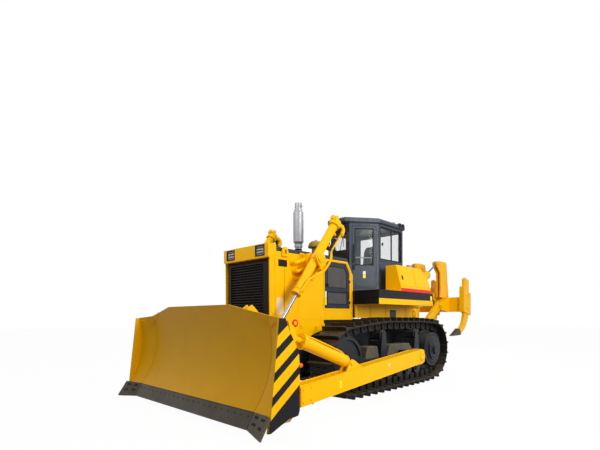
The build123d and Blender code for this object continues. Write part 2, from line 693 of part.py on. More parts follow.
def hood_outline(inset):
    """The hood seen from the side, with its rear top corner cut on a slope."""
    top = HOOD_TOP_Z - COVER_RIM
    return [(HOOD_REAR_X + inset, HOOD_FLOOR_Z), (GUARD_REAR_X, HOOD_FLOOR_Z), (GUARD_REAR_X, top - inset),
            (HOOD_REAR_X + HOOD_CUT[0] + inset / 2, top - inset), (HOOD_REAR_X + inset, top - HOOD_CUT[1] - inset / 2)]


def hood():
    """Thin walls with door openings, open below and towards the guard."""
    shell = side_slab(hood_outline(0), -HOOD_HALF, HOOD_HALF)
    cavity = side_slab(hood_outline(HOOD_WALL), -HOOD_HALF + HOOD_WALL, HOOD_HALF - HOOD_WALL)
    shell -= cavity + Pos(1, 0, -1) * cavity
    shell -= side_slab(door_outline(0), -HOOD_HALF - 1, HOOD_HALF + 1)
    for z in DOOR_HINGE_ZS:
        for side in (-1, 1):
            shell = Hinge(DOOR_REAR_X, side * HOOD_HALF, z, DOOR_HINGE_R).on_frame(shell)
    return shell


def door_outline(inset, bottom=DOOR_BOTTOM_Z, top=DOOR_TOP_Z):
    """Engine door seen from the side: its front corner cut, its rear one along the hood's slope."""
    x0, x1 = DOOR_REAR_X + inset, DOOR_FRONT_X - inset
    z0, z1 = bottom + inset, top - inset
    run, rise = HOOD_CUT
    drop = (DOOR_RIM + inset) * hypot(run, rise) / run
    foot = HOOD_TOP_Z - COVER_RIM - rise - drop            # height of the sloping edge at the hood's rear
    if top < DOOR_TOP_Z:
        return [(x0, z0), (x1, z0), (x1, z1), (x0, z1)]
    cut = DOOR_CUT_FRONT - inset * (2 - sqrt(2))
    return [(x0, z0), (x1, z0), (x1, z1 - cut), (x1 - cut, z1),
            (HOOD_REAR_X + (z1 - foot) * run / rise, z1), (x0, foot + (x0 - HOOD_REAR_X) * rise / run)]


def engine_door():
    outer = HOOD_HALF
    door = side_slab(door_outline(DOOR_GAP), outer - 26, outer)
    bar_half = DOOR_BORDER / 2
    for low, high in ((DOOR_BOTTOM_Z, DOOR_MID_Z + bar_half), (DOOR_MID_Z - bar_half, DOOR_TOP_Z)):
        door -= side_slab(door_outline(DOOR_BORDER, low, high), outer - MESH_DEEP, outer + 1)
    for z in DOOR_HINGE_ZS:
        leaf = block(DOOR_REAR_X, DOOR_REAR_X + 60, outer - 18, outer, z - HINGE_HALF, z + HINGE_HALF)
        door = Hinge(DOOR_REAR_X, outer, z, DOOR_HINGE_R).on_door(door, leaf)
    return door


def hood_cover():
    """Dark cover along the hood's top and down its rear slope."""
    low = HOOD_TOP_Z - COVER_RIM
    slope_x, slope_z = HOOD_REAR_X + HOOD_CUT[0], low - HOOD_CUT[1]
    high = HOOD_TOP_Z + COVER_RIM / 2
    return side_slab([(CAP_REAR_X, low), (slope_x, low), (HOOD_REAR_X, slope_z), (HOOD_REAR_X - 30, slope_z),
                      (HOOD_REAR_X - 30, slope_z + 40), (slope_x - 40, high), (CAP_REAR_X, high)],
                     -COVER_TOP_HALF, COVER_TOP_HALF)


def muffler():
    """Pipe and clamp under the silencer, whose shoulders taper to the tail pipe."""
    base, top, r = HOOD_TOP_Z + COVER_RIM / 2, STACK_TOP_Z, STACK_R
    profile = [(0, base), (r * 0.62, base), (r * 0.62, base + 190), (r * 0.8, base + 200), (r * 0.8, base + 250),
               (r * 0.66, base + 260), (r, base + 300), (r, top - 190), (r * 0.8, top - 150), (r * 0.8, top - 128),
               (r * 0.68, top - 120), (r * 0.68, top), (r * 0.6, top), (r * 0.6, top - 90), (0, top - 90)]
    return turned(STACK_X, 0, profile)


def precleaner():
    """Air intake: a neck, a brim and a domed top."""
    base, top, r = HOOD_TOP_Z + COVER_RIM / 2, CLEANER_TOP_Z, CLEANER_R
    profile = [(0, base), (r * 0.52, base), (r * 0.52, top - 170), (r * 0.75, top - 150), (r, top - 150),
               (r, top - 112), (r * 0.92, top - 106), (r * 0.88, top - 70), (r * 0.74, top - 34),
               (r * 0.5, top - 12), (r * 0.25, top), (0, top)]
    return turned(CLEANER_X, CLEANER_Y, profile)


def cab_mounts():
    """Rubber pads between the deck and the cab's floor."""
    return [bar((x, side * y, FENDER_TOP_Z), (x, side * y, CAB_BASE_Z), 60)
            for x, y in CAB_MOUNTS for side in (-1, 1)]


# ---- cab -------------------------------------------------------------------------------
def cab_plan(grow):
    """Six-sided plan, grown outward by this much."""
    lean = atan2(CAB_FRONT_X - CAB_SIDE_X, CAB_HALF - CAB_FRONT_HALF)
    bevel = grow * (1 - sin(lean)) / cos(lean)
    corner = grow * (1 - cos(lean)) / sin(lean)
    half = [(CAB_REAR_X - grow, CAB_HALF + grow), (CAB_SIDE_X + corner, CAB_HALF + grow),
            (CAB_FRONT_X + grow, CAB_FRONT_HALF + bevel)]
    return half + [(x, -y) for x, y in reversed(half)]


def door_frame_plane():
    """Plane of the left door's outer face, x along the wall from front to rear, y up."""
    run = Vector(CAB_SIDE_X - CAB_FRONT_X, CAB_HALF - CAB_FRONT_HALF, 0)
    return Plane(origin=(CAB_FRONT_X, CAB_FRONT_HALF, 0), x_dir=run, z_dir=run.cross(Vector(0, 0, 1)))


DOOR_WALL = hypot(CAB_SIDE_X - CAB_FRONT_X, CAB_HALF - CAB_FRONT_HALF)


def door_slab(s0, s1, z0, z1, d0, d1):
    """A box in the left door's wall: along the wall, up, and outward of its face."""
    plane = door_frame_plane()
    body = Pos((s0 + s1) / 2, (z0 + z1) / 2, (d0 + d1) / 2) * Box(s1 - s0, z1 - z0, d1 - d0)
    return plane * body


def cab_shell():
    shell = plan_slab(cab_plan(0), CAB_BASE_Z, CAB_ROOF_Z)
    shell -= plan_slab(cab_plan(-POST), CAB_BASE_Z + 40, CAB_ROOF_Z + 1)
    head = CAB_ROOF_Z - HEAD_DROP
    # windscreen and rear window, through one wall each
    shell -= block(CAB_FRONT_X - POST - 1, CAB_FRONT_X + 1, -CAB_FRONT_HALF + POST, CAB_FRONT_HALF - POST,
                   SILL_FRONT_Z, HEAD_FRONT_Z)
    shell -= block(CAB_REAR_X - 1, CAB_REAR_X + POST + 1, -CAB_HALF + POST + 20, CAB_HALF - POST - 20,
                   SILL_SIDE_Z, head)
    shell -= block(CAB_REAR_X + POST + 10, CAB_SIDE_X - 50, -CAB_HALF - 1, CAB_HALF + 1, SILL_SIDE_Z, head)
    opening = door_slab(CAB_DOOR_EDGE, DOOR_WALL - CAB_DOOR_EDGE, CAB_BASE_Z + 60, head, -POST * 2, 5)
    for cut in both(opening):
        shell -= cut
    for z in CAB_HINGE_ZS:
        for side in (-1, 1):
            shell = Hinge(CAB_SIDE_X, side * CAB_HALF, z, CAB_HINGE_R).on_frame(shell)
    return shell


def cab_door():
    low, high = CAB_BASE_Z + 60 + CAB_DOOR_GAP, CAB_ROOF_Z - HEAD_DROP - CAB_DOOR_GAP
    s0, s1 = CAB_DOOR_EDGE + CAB_DOOR_GAP, DOOR_WALL - CAB_DOOR_EDGE - CAB_DOOR_GAP
    door = door_slab(s0, s1, low, high, -36, 0)
    door -= door_slab(s0 + 55, s1 - 55, CAB_BASE_Z + 560, high - 55, -40, 1)
    for z in CAB_HINGE_ZS:
        leaf = door_slab(s1 - 30, s1, z - HINGE_HALF, z + HINGE_HALF, -2, 8)
        leaf += door_slab(s1 - 1, DOOR_WALL, z - HINGE_HALF, z + HINGE_HALF, 2, 8)
        door = Hinge(CAB_SIDE_X, CAB_HALF, z, CAB_HINGE_R).on_door(door, leaf)
    return door


def cab_door_glass():
    high = CAB_ROOF_Z - HEAD_DROP - CAB_DOOR_GAP
    s0, s1 = CAB_DOOR_EDGE + CAB_DOOR_GAP, DOOR_WALL - CAB_DOOR_EDGE - CAB_DOOR_GAP
    return door_slab(s0 + 55, s1 - 55, CAB_BASE_Z + 560, high - 55, -22, -22 + GLASS)


def roof_plan(inset):
    """Six-sided plan of the roof, narrower ahead than the cab's front."""
    half = [(CAB_REAR_X - ROOF_OVERHANG + inset, CAB_HALF + ROOF_OVERHANG - inset),
            (CAB_SIDE_X, CAB_HALF + ROOF_OVERHANG - inset),
            (ROOF_FRONT_X - inset, ROOF_FRONT_HALF - inset / 2)]
    return half + [(x, -y) for x, y in reversed(half)]


def cab_glass():
    head = CAB_ROOF_Z - HEAD_DROP
    front = block(CAB_FRONT_X - 34, CAB_FRONT_X - 34 + GLASS, -CAB_FRONT_HALF + POST, CAB_FRONT_HALF - POST,
                  SILL_FRONT_Z, HEAD_FRONT_Z)
    rear = block(CAB_REAR_X + 26, CAB_REAR_X + 26 + GLASS, -CAB_HALF + POST + 20, CAB_HALF - POST - 20, SILL_SIDE_Z, head)
    side = block(CAB_REAR_X + POST + 10, CAB_SIDE_X - 50, CAB_HALF - 34, CAB_HALF - 34 + GLASS, SILL_SIDE_Z, head)
    return [front, rear] + both(side)


def cab_roof():
    """A flat roof whose upper edge is bevelled all round."""
    bevel = ROOF_THICK * 0.35
    top = CAB_ROOF_Z + ROOF_THICK
    slab = plan_slab(roof_plan(0), CAB_ROOF_Z, top - bevel)
    low, high = [polygon_face([(x, y, z) for x, y in roof_plan(inset)])
                 for z, inset in ((top - bevel, 0), (top, bevel))]
    return slab + loft([low, high], ruled=True)


def seat():
    floor = CAB_BASE_Z + 40
    pad = block(SEAT_X - 270, SEAT_X + 250, -260, 260, floor + 380, floor + 520)
    back = side_slab([(SEAT_X - 270, floor + 520), (SEAT_X - 150, floor + 520), (SEAT_X - 240, floor + 1120),
                      (SEAT_X - 350, floor + 1120)], -240, 240)
    base = block(SEAT_X - 200, SEAT_X + 180, -180, 180, floor, floor + 380)
    return pad + back + base


def console():
    """Two arm boxes beside the seat, and a dash under the windscreen."""
    floor = CAB_BASE_Z + 40
    boxes = [block(SEAT_X - 100, SEAT_X + 360, y - 70, y + 70, floor, floor + 620) for y in (-400, 400)]
    wall = CAB_FRONT_X - POST - 10
    dash = side_slab([(wall, floor), (wall, SILL_FRONT_Z - 10), (wall - 190, SILL_FRONT_Z - 80), (wall - 80, floor)],
                     -170, 170)
    return boxes + [dash]


def work_lamps():
    """Round lamps behind the roof's rear edge, each on a bracket."""
    lamps = []
    mid = CAB_ROOF_Z + ROOF_THICK * 0.5
    edge = CAB_REAR_X - ROOF_OVERHANG
    for y in (WORK_LAMP_Y, -WORK_LAMP_Y):
        lamp = bar((edge - 120, y, mid + 50), (edge - 24, y, mid + 50), 60)
        lamps.append(lamp + block(edge - 40, edge, y - 25, y + 25, mid - 25, mid + 15))
    return lamps


# ---- fenders and tanks -----------------------------------------------------------------
def fender():
    inner = UPPER_HALF
    shelf = block(FENDER_REAR_X, HOOD_REAR_X, inner, FENDER_OUTER, FENDER_BOTTOM_Z, FENDER_TOP_Z)
    shelf += block(HOOD_REAR_X, FENDER_FRONT_X, HOOD_HALF + 6, FENDER_OUTER, FENDER_BOTTOM_Z, FENDER_TOP_Z)
    shelf += block(CAB_REAR_X - 30, HOOD_REAR_X, 0, inner, FENDER_BOTTOM_Z, FENDER_TOP_Z)
    shelf -= block(HOOD_REAR_X - 1, FENDER_FRONT_X + 1, 0, HOOD_HALF + 6, FENDER_BOTTOM_Z - 1, FENDER_TOP_Z + 1)
    return shelf


def tank():
    rear = FENDER_REAR_X
    outline = [(TANK_OUTER, FENDER_TOP_Z), (TANK_OUTER, FENDER_TOP_Z + 80), (TANK_TOP_OUTER, TANK_TOP_Z),
               (TANK_INNER, TANK_TOP_Z), (TANK_INNER, FENDER_TOP_Z)]
    body = front_slab(outline, rear, TANK_FRONT_X)
    body -= side_slab([(rear - 1, TANK_TOP_Z - 300), (rear + 250, TANK_TOP_Z + 1), (rear - 1, TANK_TOP_Z + 1)],
                      TANK_INNER - 1, TANK_OUTER + 1)
    return body


# ---- lift cylinder yokes ---------------------------------------------------------------
def lift_yoke():
    """Bracket on the hood's side, with a fork whose two ears carry the tube's trunnions."""
    near = LIFT_Y - LIFT_TUBE_R - LUG_ROOM
    far = LIFT_Y + LIFT_TUBE_R + LUG_ROOM
    ear = LUG + 4
    base = side_slab([(YOKE_X - 60, YOKE_Z - 330), (YOKE_X + 120, YOKE_Z - 200), (YOKE_X + 110, YOKE_Z + 90),
                      (YOKE_X - 110, YOKE_Z + 90), (YOKE_X - 150, YOKE_Z - 120)], HOOD_HALF, near)
    ears = cross_pin(YOKE_X, YOKE_Z, near - ear, near, 110) + cross_pin(YOKE_X, YOKE_Z, far, far + ear, 110)
    back = side_slab([(YOKE_X - 150, YOKE_Z - 175), (YOKE_X - 40, YOKE_Z - 230), (YOKE_X + 20, YOKE_Z - 180),
                      (YOKE_X - 40, YOKE_Z - 100), (YOKE_X - 128, YOKE_Z - 100)], near - ear, far + ear)
    cheek = side_slab([(YOKE_X - 150, YOKE_Z - 175), (YOKE_X - 40, YOKE_Z - 230), (YOKE_X + 90, YOKE_Z - 60),
                       (YOKE_X - 100, YOKE_Z + 40)], far, far + ear)
    yoke = base + ears + back + cheek
    swing = fuse([bar_xz(YOKE_X, YOKE_Z, a) for a in YOKE_SWEEP])
    yoke -= swing
    yoke -= cross_pin(YOKE_X, YOKE_Z, near - ear - 1, far + ear + 1, TRUNNION_PIN_R + FIT)
    return yoke


def bar_xz(x, z, angle):
    """Room for the lift tube when it points this many degrees below level."""
    dx, dz = cos(radians(angle)), -sin(radians(angle))
    r = LIFT_TUBE_R + 11
    return bar((x - dx * 500, LIFT_Y, z - dz * 500), (x + dx * 500, LIFT_Y, z + dz * 500), r)


# ---- blade -----------------------------------------------------------------------------
def arc_profile(y, top, mid, bottom, thick):
    """Closed (x, z) section at this y: a concave front arc and its parallel back."""
    front = ThreePointArc((top[0], y, top[1]), (mid[0], y, mid[1]), (bottom[0], y, bottom[1]))
    back = ThreePointArc((bottom[0] - thick, y, bottom[1]), (mid[0] - thick, y, mid[1]),
                         (top[0] - thick, y, top[1]))
    low = Line((bottom[0], y, bottom[1]), (bottom[0] - thick, y, bottom[1]))
    high = Line((top[0] - thick, y, top[1]), (top[0], y, top[1]))
    return make_face([front, low, back, high])


# moldboard sections: y, then (x, z) of the top, the deepest point and the foot
def circle_through(a, b, c):
    """Centre and radius of the circle through three (x, z) points."""
    ax, az, bx, bz, cx, cz = *a, *b, *c
    d = 2 * (ax * (bz - cz) + bx * (cz - az) + cx * (az - bz))
    aa, bb, cc = ax * ax + az * az, bx * bx + bz * bz, cx * cx + cz * cz
    x = (aa * (bz - cz) + bb * (cz - az) + cc * (az - bz)) / d
    z = (aa * (cx - bx) + bb * (ax - cx) + cc * (bx - ax)) / d
    return x, z, hypot(ax - x, az - z)


SECTION = {"mid": ((3926, BLADE_TOP_Z), (3782, 940), (EDGE_TOP_X + 12, EDGE_TOP_Z)),
           "wing": ((4030, BLADE_TOP_Z), (3896, 940), (EDGE_TOP_X + 60, EDGE_TOP_Z))}


def moldboard():
    middle = extrude(arc_profile(-WING_KINK, *SECTION["mid"], BLADE_PLATE), amount=2 * WING_KINK, dir=(0, 1, 0))
    wing = loft([arc_profile(WING_KINK, *SECTION["mid"], BLADE_PLATE),
                 arc_profile(BLADE_HALF - SIDE_PLATE, *SECTION["wing"], BLADE_PLATE)])
    shell = fuse([middle] + both(wing))
    over = BLADE_TOP_Z + 1
    fall = [(TOP_KINK, over), (TOP_KINK, BLADE_TOP_Z), (WING_KINK, WING_TOP_Z + 40), (BLADE_HALF, WING_TOP_Z),
            (BLADE_HALF + 1, WING_TOP_Z), (BLADE_HALF + 1, over)]
    for cut in both(front_slab(fall, 3000, 4400)):
        shell -= cut
    for bit in both(end_bit()):
        shell -= bit
    return shell


def back_x(z):
    """X of the moldboard's rear face in its middle length, at this height."""
    x, mid, r = circle_through(*SECTION["mid"])
    return x - sqrt(r * r - (z - mid) ** 2) - BLADE_PLATE


def side_plate():
    """End plate: a straight front edge, a sloping rear one and a low toe that sweeps forward."""
    foot = EDGE_BOTTOM_Z + 20
    outline = [(EDGE_TOP_X - 70, WING_TOP_Z), (PLATE_REAR_X + 240, WING_TOP_Z), (PLATE_REAR_X + 160, WING_TOP_Z - 180),
               (PLATE_REAR_X + 64, WING_TOP_Z - 330), (PLATE_REAR_X + 12, WING_TOP_Z - 444),
               (PLATE_REAR_X, WING_TOP_Z - 600), (PLATE_REAR_X, foot + 200), (PLATE_REAR_X + 26, foot + 134),
               (PLATE_REAR_X + 190, foot + 116), (EDGE_TOP_X - 84, foot + 62), (EDGE_TOP_X + 62, foot),
               (EDGE_TOP_X + 106, foot), (EDGE_TOP_X + 65, EDGE_TOP_Z + 2)]
    return side_slab(outline, BLADE_HALF - SIDE_PLATE, BLADE_HALF)


def blade_back():
    """Lower and upper box beams, ribs, and the lugs for arms, braces and lift rods."""
    reach = BLADE_HALF - SIDE_PLATE
    rear = BEAM_REAR_X
    lower = side_slab([(EDGE_TOP_X - 54, EDGE_BOTTOM_Z + 34), (EDGE_TOP_X - 48, EDGE_TOP_Z + 8),
                       (back_x(480) + 20, 480), (rear + 100, 480), (rear, 410), (rear, EDGE_BOTTOM_Z + 76),
                       (rear + 40, EDGE_BOTTOM_Z + 34)], -reach, reach)
    upper = side_slab([(back_x(1080) + 15, 1080), (back_x(1240) + 15, 1240), (back_x(1430) + 15, 1430),
                       (rear + 90, 1340), (rear + 72, 1180)], -reach, reach)
    pieces = [lower, upper]
    eye_half = LIFT_EYE_WIDTH / 2 + LUG_GAP
    peak_x, peak_z = LIFT_PEAK
    lift = [(back_x(470) + 20, 470), (back_x(1460) + 15, 1460), (peak_x, peak_z), (peak_x - 108, peak_z - 104),
            (LIFT_EYE_X - 20, LIFT_EYE_Z + 320),
            (LIFT_EYE_X - 95, LIFT_EYE_Z + 60), (LIFT_EYE_X - 95, LIFT_EYE_Z - 90), (LIFT_EYE_X + 60, LIFT_EYE_Z - 130),
            (rear, 420), (rear + 100, 460)]
    for y in (LIFT_Y, -LIFT_Y):
        pieces += lug_pair(lift, y, eye_half)
    rib = [(back_x(460) + 20, 460), (back_x(1080) + 15, 1080), (rear + 80, 1180), (rear + 40, 900), (rear + 90, 460)]
    for y in (0, TOP_KINK / 2, -TOP_KINK / 2, RIB_Y, -RIB_Y):
        pieces.append(side_slab(rib, y - RIB / 2, y + RIB / 2))
    head_x, head_z = TILT_HEAD
    tilt = [(head_x - 80, head_z - 80), (back_x(head_z - 190) + 15, head_z - 190), (back_x(head_z) + 15, head_z),
            (back_x(head_z + 110) + 15, head_z + 110), (head_x - 80, head_z + 80)]
    ball = [(rear + 10, 160), (rear + 10, 440), (BALL_X - 40, BALL_Z + 110), (BALL_X - 120, BALL_Z + 60),
            (BALL_X - 120, BALL_Z - 60), (BALL_X - 40, BALL_Z - 110)]
    for y in (TILT_Y, -TILT_Y):
        pieces += lug_pair(tilt, y, TILT_EYE_HALF)
        pieces += lug_pair(ball, y, BALL_EYE_HALF)
    back = pieces[0].fuse(*pieces[1:])
    x, z, r = circle_through(*SECTION["mid"])
    back -= cross_pin(x - BLADE_PLATE / 2, z, -BLADE_HALF, BLADE_HALF, r)
    for y in (TILT_Y, -TILT_Y):
        back -= cross_pin(head_x, head_z, y - TILT_EYE_HALF, y + TILT_EYE_HALF, 76)
        back -= side_slab([(head_x + 40, head_z + 66), (head_x - 300, head_z - 40), (head_x - 300, head_z - 210),
                           (head_x + 40, head_z - 80)], y - TILT_EYE_HALF, y + TILT_EYE_HALF)
    return back - moldboard()


def edge_parts():
    """Cutting edge between the end bits."""
    run_x, run_z = EDGE_TOP_X - EDGE_BOTTOM_X, EDGE_TOP_Z - EDGE_BOTTOM_Z
    size = hypot(run_x, run_z)
    dx, dz = -EDGE_THICK * run_z / size, EDGE_THICK * run_x / size
    return side_slab([(EDGE_BOTTOM_X, EDGE_BOTTOM_Z), (EDGE_TOP_X, EDGE_TOP_Z), (EDGE_TOP_X + dx, EDGE_TOP_Z + dz),
                      (EDGE_BOTTOM_X + dx, EDGE_BOTTOM_Z + dz)], -WING_KINK, WING_KINK)


def end_bit():
    """Plate that sweeps forward to the tip, dropping a little below the edge."""
    run_x, run_z = EDGE_TOP_X - EDGE_BOTTOM_X, EDGE_TOP_Z - EDGE_BOTTOM_Z
    size = hypot(run_x, run_z)
    back = Vector(-EDGE_THICK * run_z / size, 0, EDGE_THICK * run_x / size)
    sweep = BLADE_TIP_X - EDGE_BOTTOM_X
    out = BLADE_HALF + BIT_LAP
    corners = [Vector(EDGE_BOTTOM_X, WING_KINK, EDGE_BOTTOM_Z), Vector(EDGE_TOP_X, WING_KINK, EDGE_TOP_Z),
               Vector(EDGE_TOP_X + sweep * 0.75, out, EDGE_TOP_Z + 8), Vector(BLADE_TIP_X, out, BIT_TIP_Z)]
    front = Face(Wire.make_polygon(corners[:3], close=True))
    plate = extrude(front, amount=EDGE_THICK, dir=back)
    plate += extrude(Face(Wire.make_polygon([corners[0], corners[2], corners[3]], close=True)),
                     amount=EDGE_THICK, dir=back)
    return plate


def push_arm():
    """Tapered box, its trunnion cap behind and its eye in the blade's lugs ahead."""
    middle = (ARM_INNER + ARM_OUTER) / 2
    arm = side_slab([(PIVOT_X + 150, PIVOT_Z - 150), (PIVOT_X + 150, PIVOT_Z + ARM_REAR_TOP),
                     (ARM_FRONT_X, ARM_FRONT_TOP_Z), (ARM_FRONT_X, ARM_FRONT_LOW_Z)], ARM_INNER, ARM_OUTER)
    arm += side_slab([(PIVOT_X - 96, PIVOT_Z - 110), (PIVOT_X - 106, PIVOT_Z), (PIVOT_X - 76, PIVOT_Z + 127),
                      (PIVOT_X + 10, PIVOT_Z + 152), (PIVOT_X + 160, PIVOT_Z + ARM_REAR_TOP),
                      (PIVOT_X + 160, PIVOT_Z - 150), (PIVOT_X, PIVOT_Z - 146)], ARM_INNER + 10, ARM_OUTER)
    arm -= cross_pin(PIVOT_X, PIVOT_Z, ARM_INNER, ARM_OUTER - ARM_CAP, TRUNNION_R + FIT)
    arm += side_slab([(ARM_FRONT_X - 30, ARM_FRONT_LOW_Z + 35), (ARM_FRONT_X - 30, ARM_FRONT_TOP_Z - 20),
                      (BALL_X - 90, BALL_Z + 95), (BALL_X + 20, BALL_Z + 90), (BALL_X + 38, BALL_Z),
                      (BALL_X + 20, BALL_Z - 90), (BALL_X - 90, BALL_Z - 95)],
                     middle - BALL_EYE_HALF + SEAT_FIT, middle + BALL_EYE_HALF - SEAT_FIT)
    foot_x, foot_z = TILT_FOOT
    for y in (middle - TILT_EYE_HALF - 30, middle + TILT_EYE_HALF):
        arm += side_slab([(foot_x - 330, PIVOT_Z - 60), (foot_x - 90, foot_z + 30), (foot_x - 20, foot_z + 62),
                          (foot_x + 50, foot_z + 30), (foot_x + 170, foot_z - 160)], y, y + 30)
    return arm


def tilt_cylinder():
    """Tube from the blade's lug with its rod run in, down to the left arm."""
    half = TILT_EYE_HALF - SEAT_FIT
    neck = toward(TILT_FOOT, TILT_HEAD, TILT_NECK)
    flange = toward(TILT_FOOT, TILT_HEAD, TILT_TUBE_END)
    end = toward(TILT_FOOT, TILT_HEAD, TILT_TUBE_END + 55)
    tube = bar((neck[0], TILT_Y, neck[1]), (flange[0], TILT_Y, flange[1]), TILT_TUBE_R)
    tube += bar((flange[0], TILT_Y, flange[1]), (end[0], TILT_Y, end[1]), TILT_FLANGE_R)
    tube += bar((end[0], TILT_Y, end[1]), (TILT_HEAD[0], TILT_Y, TILT_HEAD[1]), 42)
    tube += cross_pin(TILT_HEAD[0], TILT_HEAD[1], TILT_Y - half, TILT_Y + half, 62)
    return tube


def tilt_rod():
    neck = toward(TILT_FOOT, TILT_HEAD, TILT_NECK)
    rod = bar((TILT_FOOT[0], TILT_Y, TILT_FOOT[1]), (neck[0], TILT_Y, neck[1]), 42)
    half = TILT_EYE_HALF - SEAT_FIT
    return rod + cross_pin(TILT_FOOT[0], TILT_FOOT[1], TILT_Y - half, TILT_Y + half, 56)


def tilt_brace():
    """The right side's screw brace, between the same places."""
    length = hypot(TILT_HEAD[0] - TILT_FOOT[0], TILT_HEAD[1] - TILT_FOOT[1])
    ends = [toward(TILT_FOOT, TILT_HEAD, d) for d in (0, 420, length - 380, length)]
    brace = bar((ends[0][0], -TILT_Y, ends[0][1]), (ends[3][0], -TILT_Y, ends[3][1]), 38)
    brace += bar((ends[1][0], -TILT_Y, ends[1][1]), (ends[2][0], -TILT_Y, ends[2][1]), 62)
    half = TILT_EYE_HALF - SEAT_FIT
    for x, z in (TILT_FOOT, TILT_HEAD):
        brace += cross_pin(x, z, -TILT_Y - half, -TILT_Y + half, 62)
    return brace


def cylinder_tube(base, eye, y, near, far, radius, bore):
    """A tube along base to eye, from near to far along it, with a blind bore for its rod."""
    start, end = toward(base, eye, near), toward(base, eye, far)
    tube = bar((start[0], y, start[1]), (end[0], y, end[1]), radius)
    floor, mouth = toward(base, eye, near + 60), toward(base, eye, far + 1)
    return tube - bar((floor[0], y, floor[1]), (mouth[0], y, mouth[1]), bore + FIT)


def lift_tube():
    """Tube in its trunnion ring, with a bolted flange and port block above and a gland below."""
    base, eye = (YOKE_X, YOKE_Z), (LIFT_EYE_X, LIFT_EYE_Z)
    tube = cylinder_tube(base, eye, LIFT_Y, -LIFT_ABOVE, LIFT_BELOW, LIFT_TUBE_R, LIFT_ROD_R)
    half = LIFT_TUBE_R + LUG_ROOM + LUG
    extra = cross_pin(YOKE_X, YOKE_Z, LIFT_Y - half, LIFT_Y + half, TRUNNION_PIN_R)
    # from and to along the tube, and the radius
    for near, far, r in ((-50, 50, LIFT_TUBE_R + 9), (-LIFT_ABOVE - 30, -LIFT_ABOVE + 40, LIFT_HEAD_R),
                         (LIFT_BELOW - 70, LIFT_BELOW, LIFT_TUBE_R + 7)):
        low, high = toward(base, eye, near), toward(base, eye, far)
        extra += bar((low[0], LIFT_Y, low[1]), (high[0], LIFT_Y, high[1]), r)
    low, high = toward(base, eye, -LIFT_ABOVE + 60), toward(base, eye, LIFT_BELOW + 1)
    return tube + (extra - bar((low[0], LIFT_Y, low[1]), (high[0], LIFT_Y, high[1]), LIFT_ROD_R + FIT))


def lift_rod():
    base, eye = (YOKE_X, YOKE_Z), (LIFT_EYE_X, LIFT_EYE_Z)
    inside = toward(base, eye, LIFT_BELOW - 460)
    rod = bar((inside[0], LIFT_Y, inside[1]), (eye[0], LIFT_Y, eye[1]), LIFT_ROD_R)
    return rod + cross_pin(eye[0], eye[1], LIFT_Y - LIFT_EYE_WIDTH / 2, LIFT_Y + LIFT_EYE_WIDTH / 2, 84)


# ---- ripper ----------------------------------------------------------------------------
LOW_PIN = (ARM_PIN[0] + ARM_REACH[0], ARM_PIN[1] + ARM_REACH[1])
UP_PIN = (LOW_PIN[0] + LINK_RISE[0], LOW_PIN[1] + LINK_RISE[1])
UP_BASE = (ARM_PIN[0] + LINK_RISE[0], ARM_PIN[1] + LINK_RISE[1])


def ripper_bracket():
    """Plates on the hull's back that carry the arms, the links and the hoist cylinders."""
    back = HULL_REAR_X - 50
    plate = block(back, HULL_REAR_X, -ARM_Y - 110, ARM_Y + 110, HULL_BOTTOM_Z + 200, UP_BASE[1] + 120)
    pieces = [plate]
    low = [(back + 1, ARM_PIN[1] - 170), (ARM_PIN[0] - 20, ARM_PIN[1] - 95), (ARM_PIN[0] - 85, ARM_PIN[1]),
           (ARM_PIN[0] - 20, ARM_PIN[1] + 95), (back + 1, ARM_PIN[1] + 170)]
    high = [(back + 1, UP_BASE[1] - 190), (UP_BASE[0] - 30, UP_BASE[1] - 90), (UP_BASE[0] - 85, UP_BASE[1]),
            (UP_BASE[0] - 30, UP_BASE[1] + 90), (back + 1, UP_BASE[1] + 110)]
    hoist = [(back + 1, HOIST_BASE[1] - 170), (HOIST_BASE[0] - 60, HOIST_BASE[1] - 60),
             (HOIST_BASE[0] - 60, HOIST_BASE[1] + 60), (back + 1, HOIST_BASE[1] + 130)]
    for side in (-1, 1):
        pieces += lug_pair(low, side * ARM_Y, ARM_THICK / 2 + LUG_GAP)
        pieces += lug_pair(high, side * LINK_Y, EYE_WIDTH / 2 + LUG_GAP)
        pieces += lug_pair(hoist, side * HOIST_Y, EYE_WIDTH / 2 + LUG_GAP)
    bracket = fuse(pieces)
    for side in (-1, 1):
        for (x, z), y, half in ((ARM_PIN, ARM_Y, ARM_THICK / 2), (UP_BASE, LINK_Y, EYE_WIDTH / 2),
                                (HOIST_BASE, HOIST_Y, EYE_WIDTH / 2)):
            bracket += cross_pin(x, z, side * y - half - LUG_GAP - 1, side * y + half + LUG_GAP + 1, PIN_R)
    return bracket


def ripper_arm():
    """A deep link, tapered from the beam's pin to the tractor's."""
    ax, az = ARM_PIN
    bx, bz = LOW_PIN
    size = hypot(bx - ax, bz - az)
    nx, nz = -(bz - az) / size, (bx - ax) / size
    arm = side_slab([(ax + nx * 80, az + nz * 80), (ax - nx * 80, az - nz * 80),
                     (bx - nx * 105, bz - nz * 105), (bx + nx * 105, bz + nz * 105)],
                    ARM_Y - ARM_THICK / 2, ARM_Y + ARM_THICK / 2)
    for x, z, r in ((ax, az, 84), (bx, bz, 105)):
        arm += cross_pin(x, z, ARM_Y - ARM_THICK / 2, ARM_Y + ARM_THICK / 2, r)
    for x, z in (ARM_PIN, LOW_PIN):
        arm -= cross_pin(x, z, ARM_Y - ARM_THICK, ARM_Y + ARM_THICK, PIN_R + FIT)
    return arm


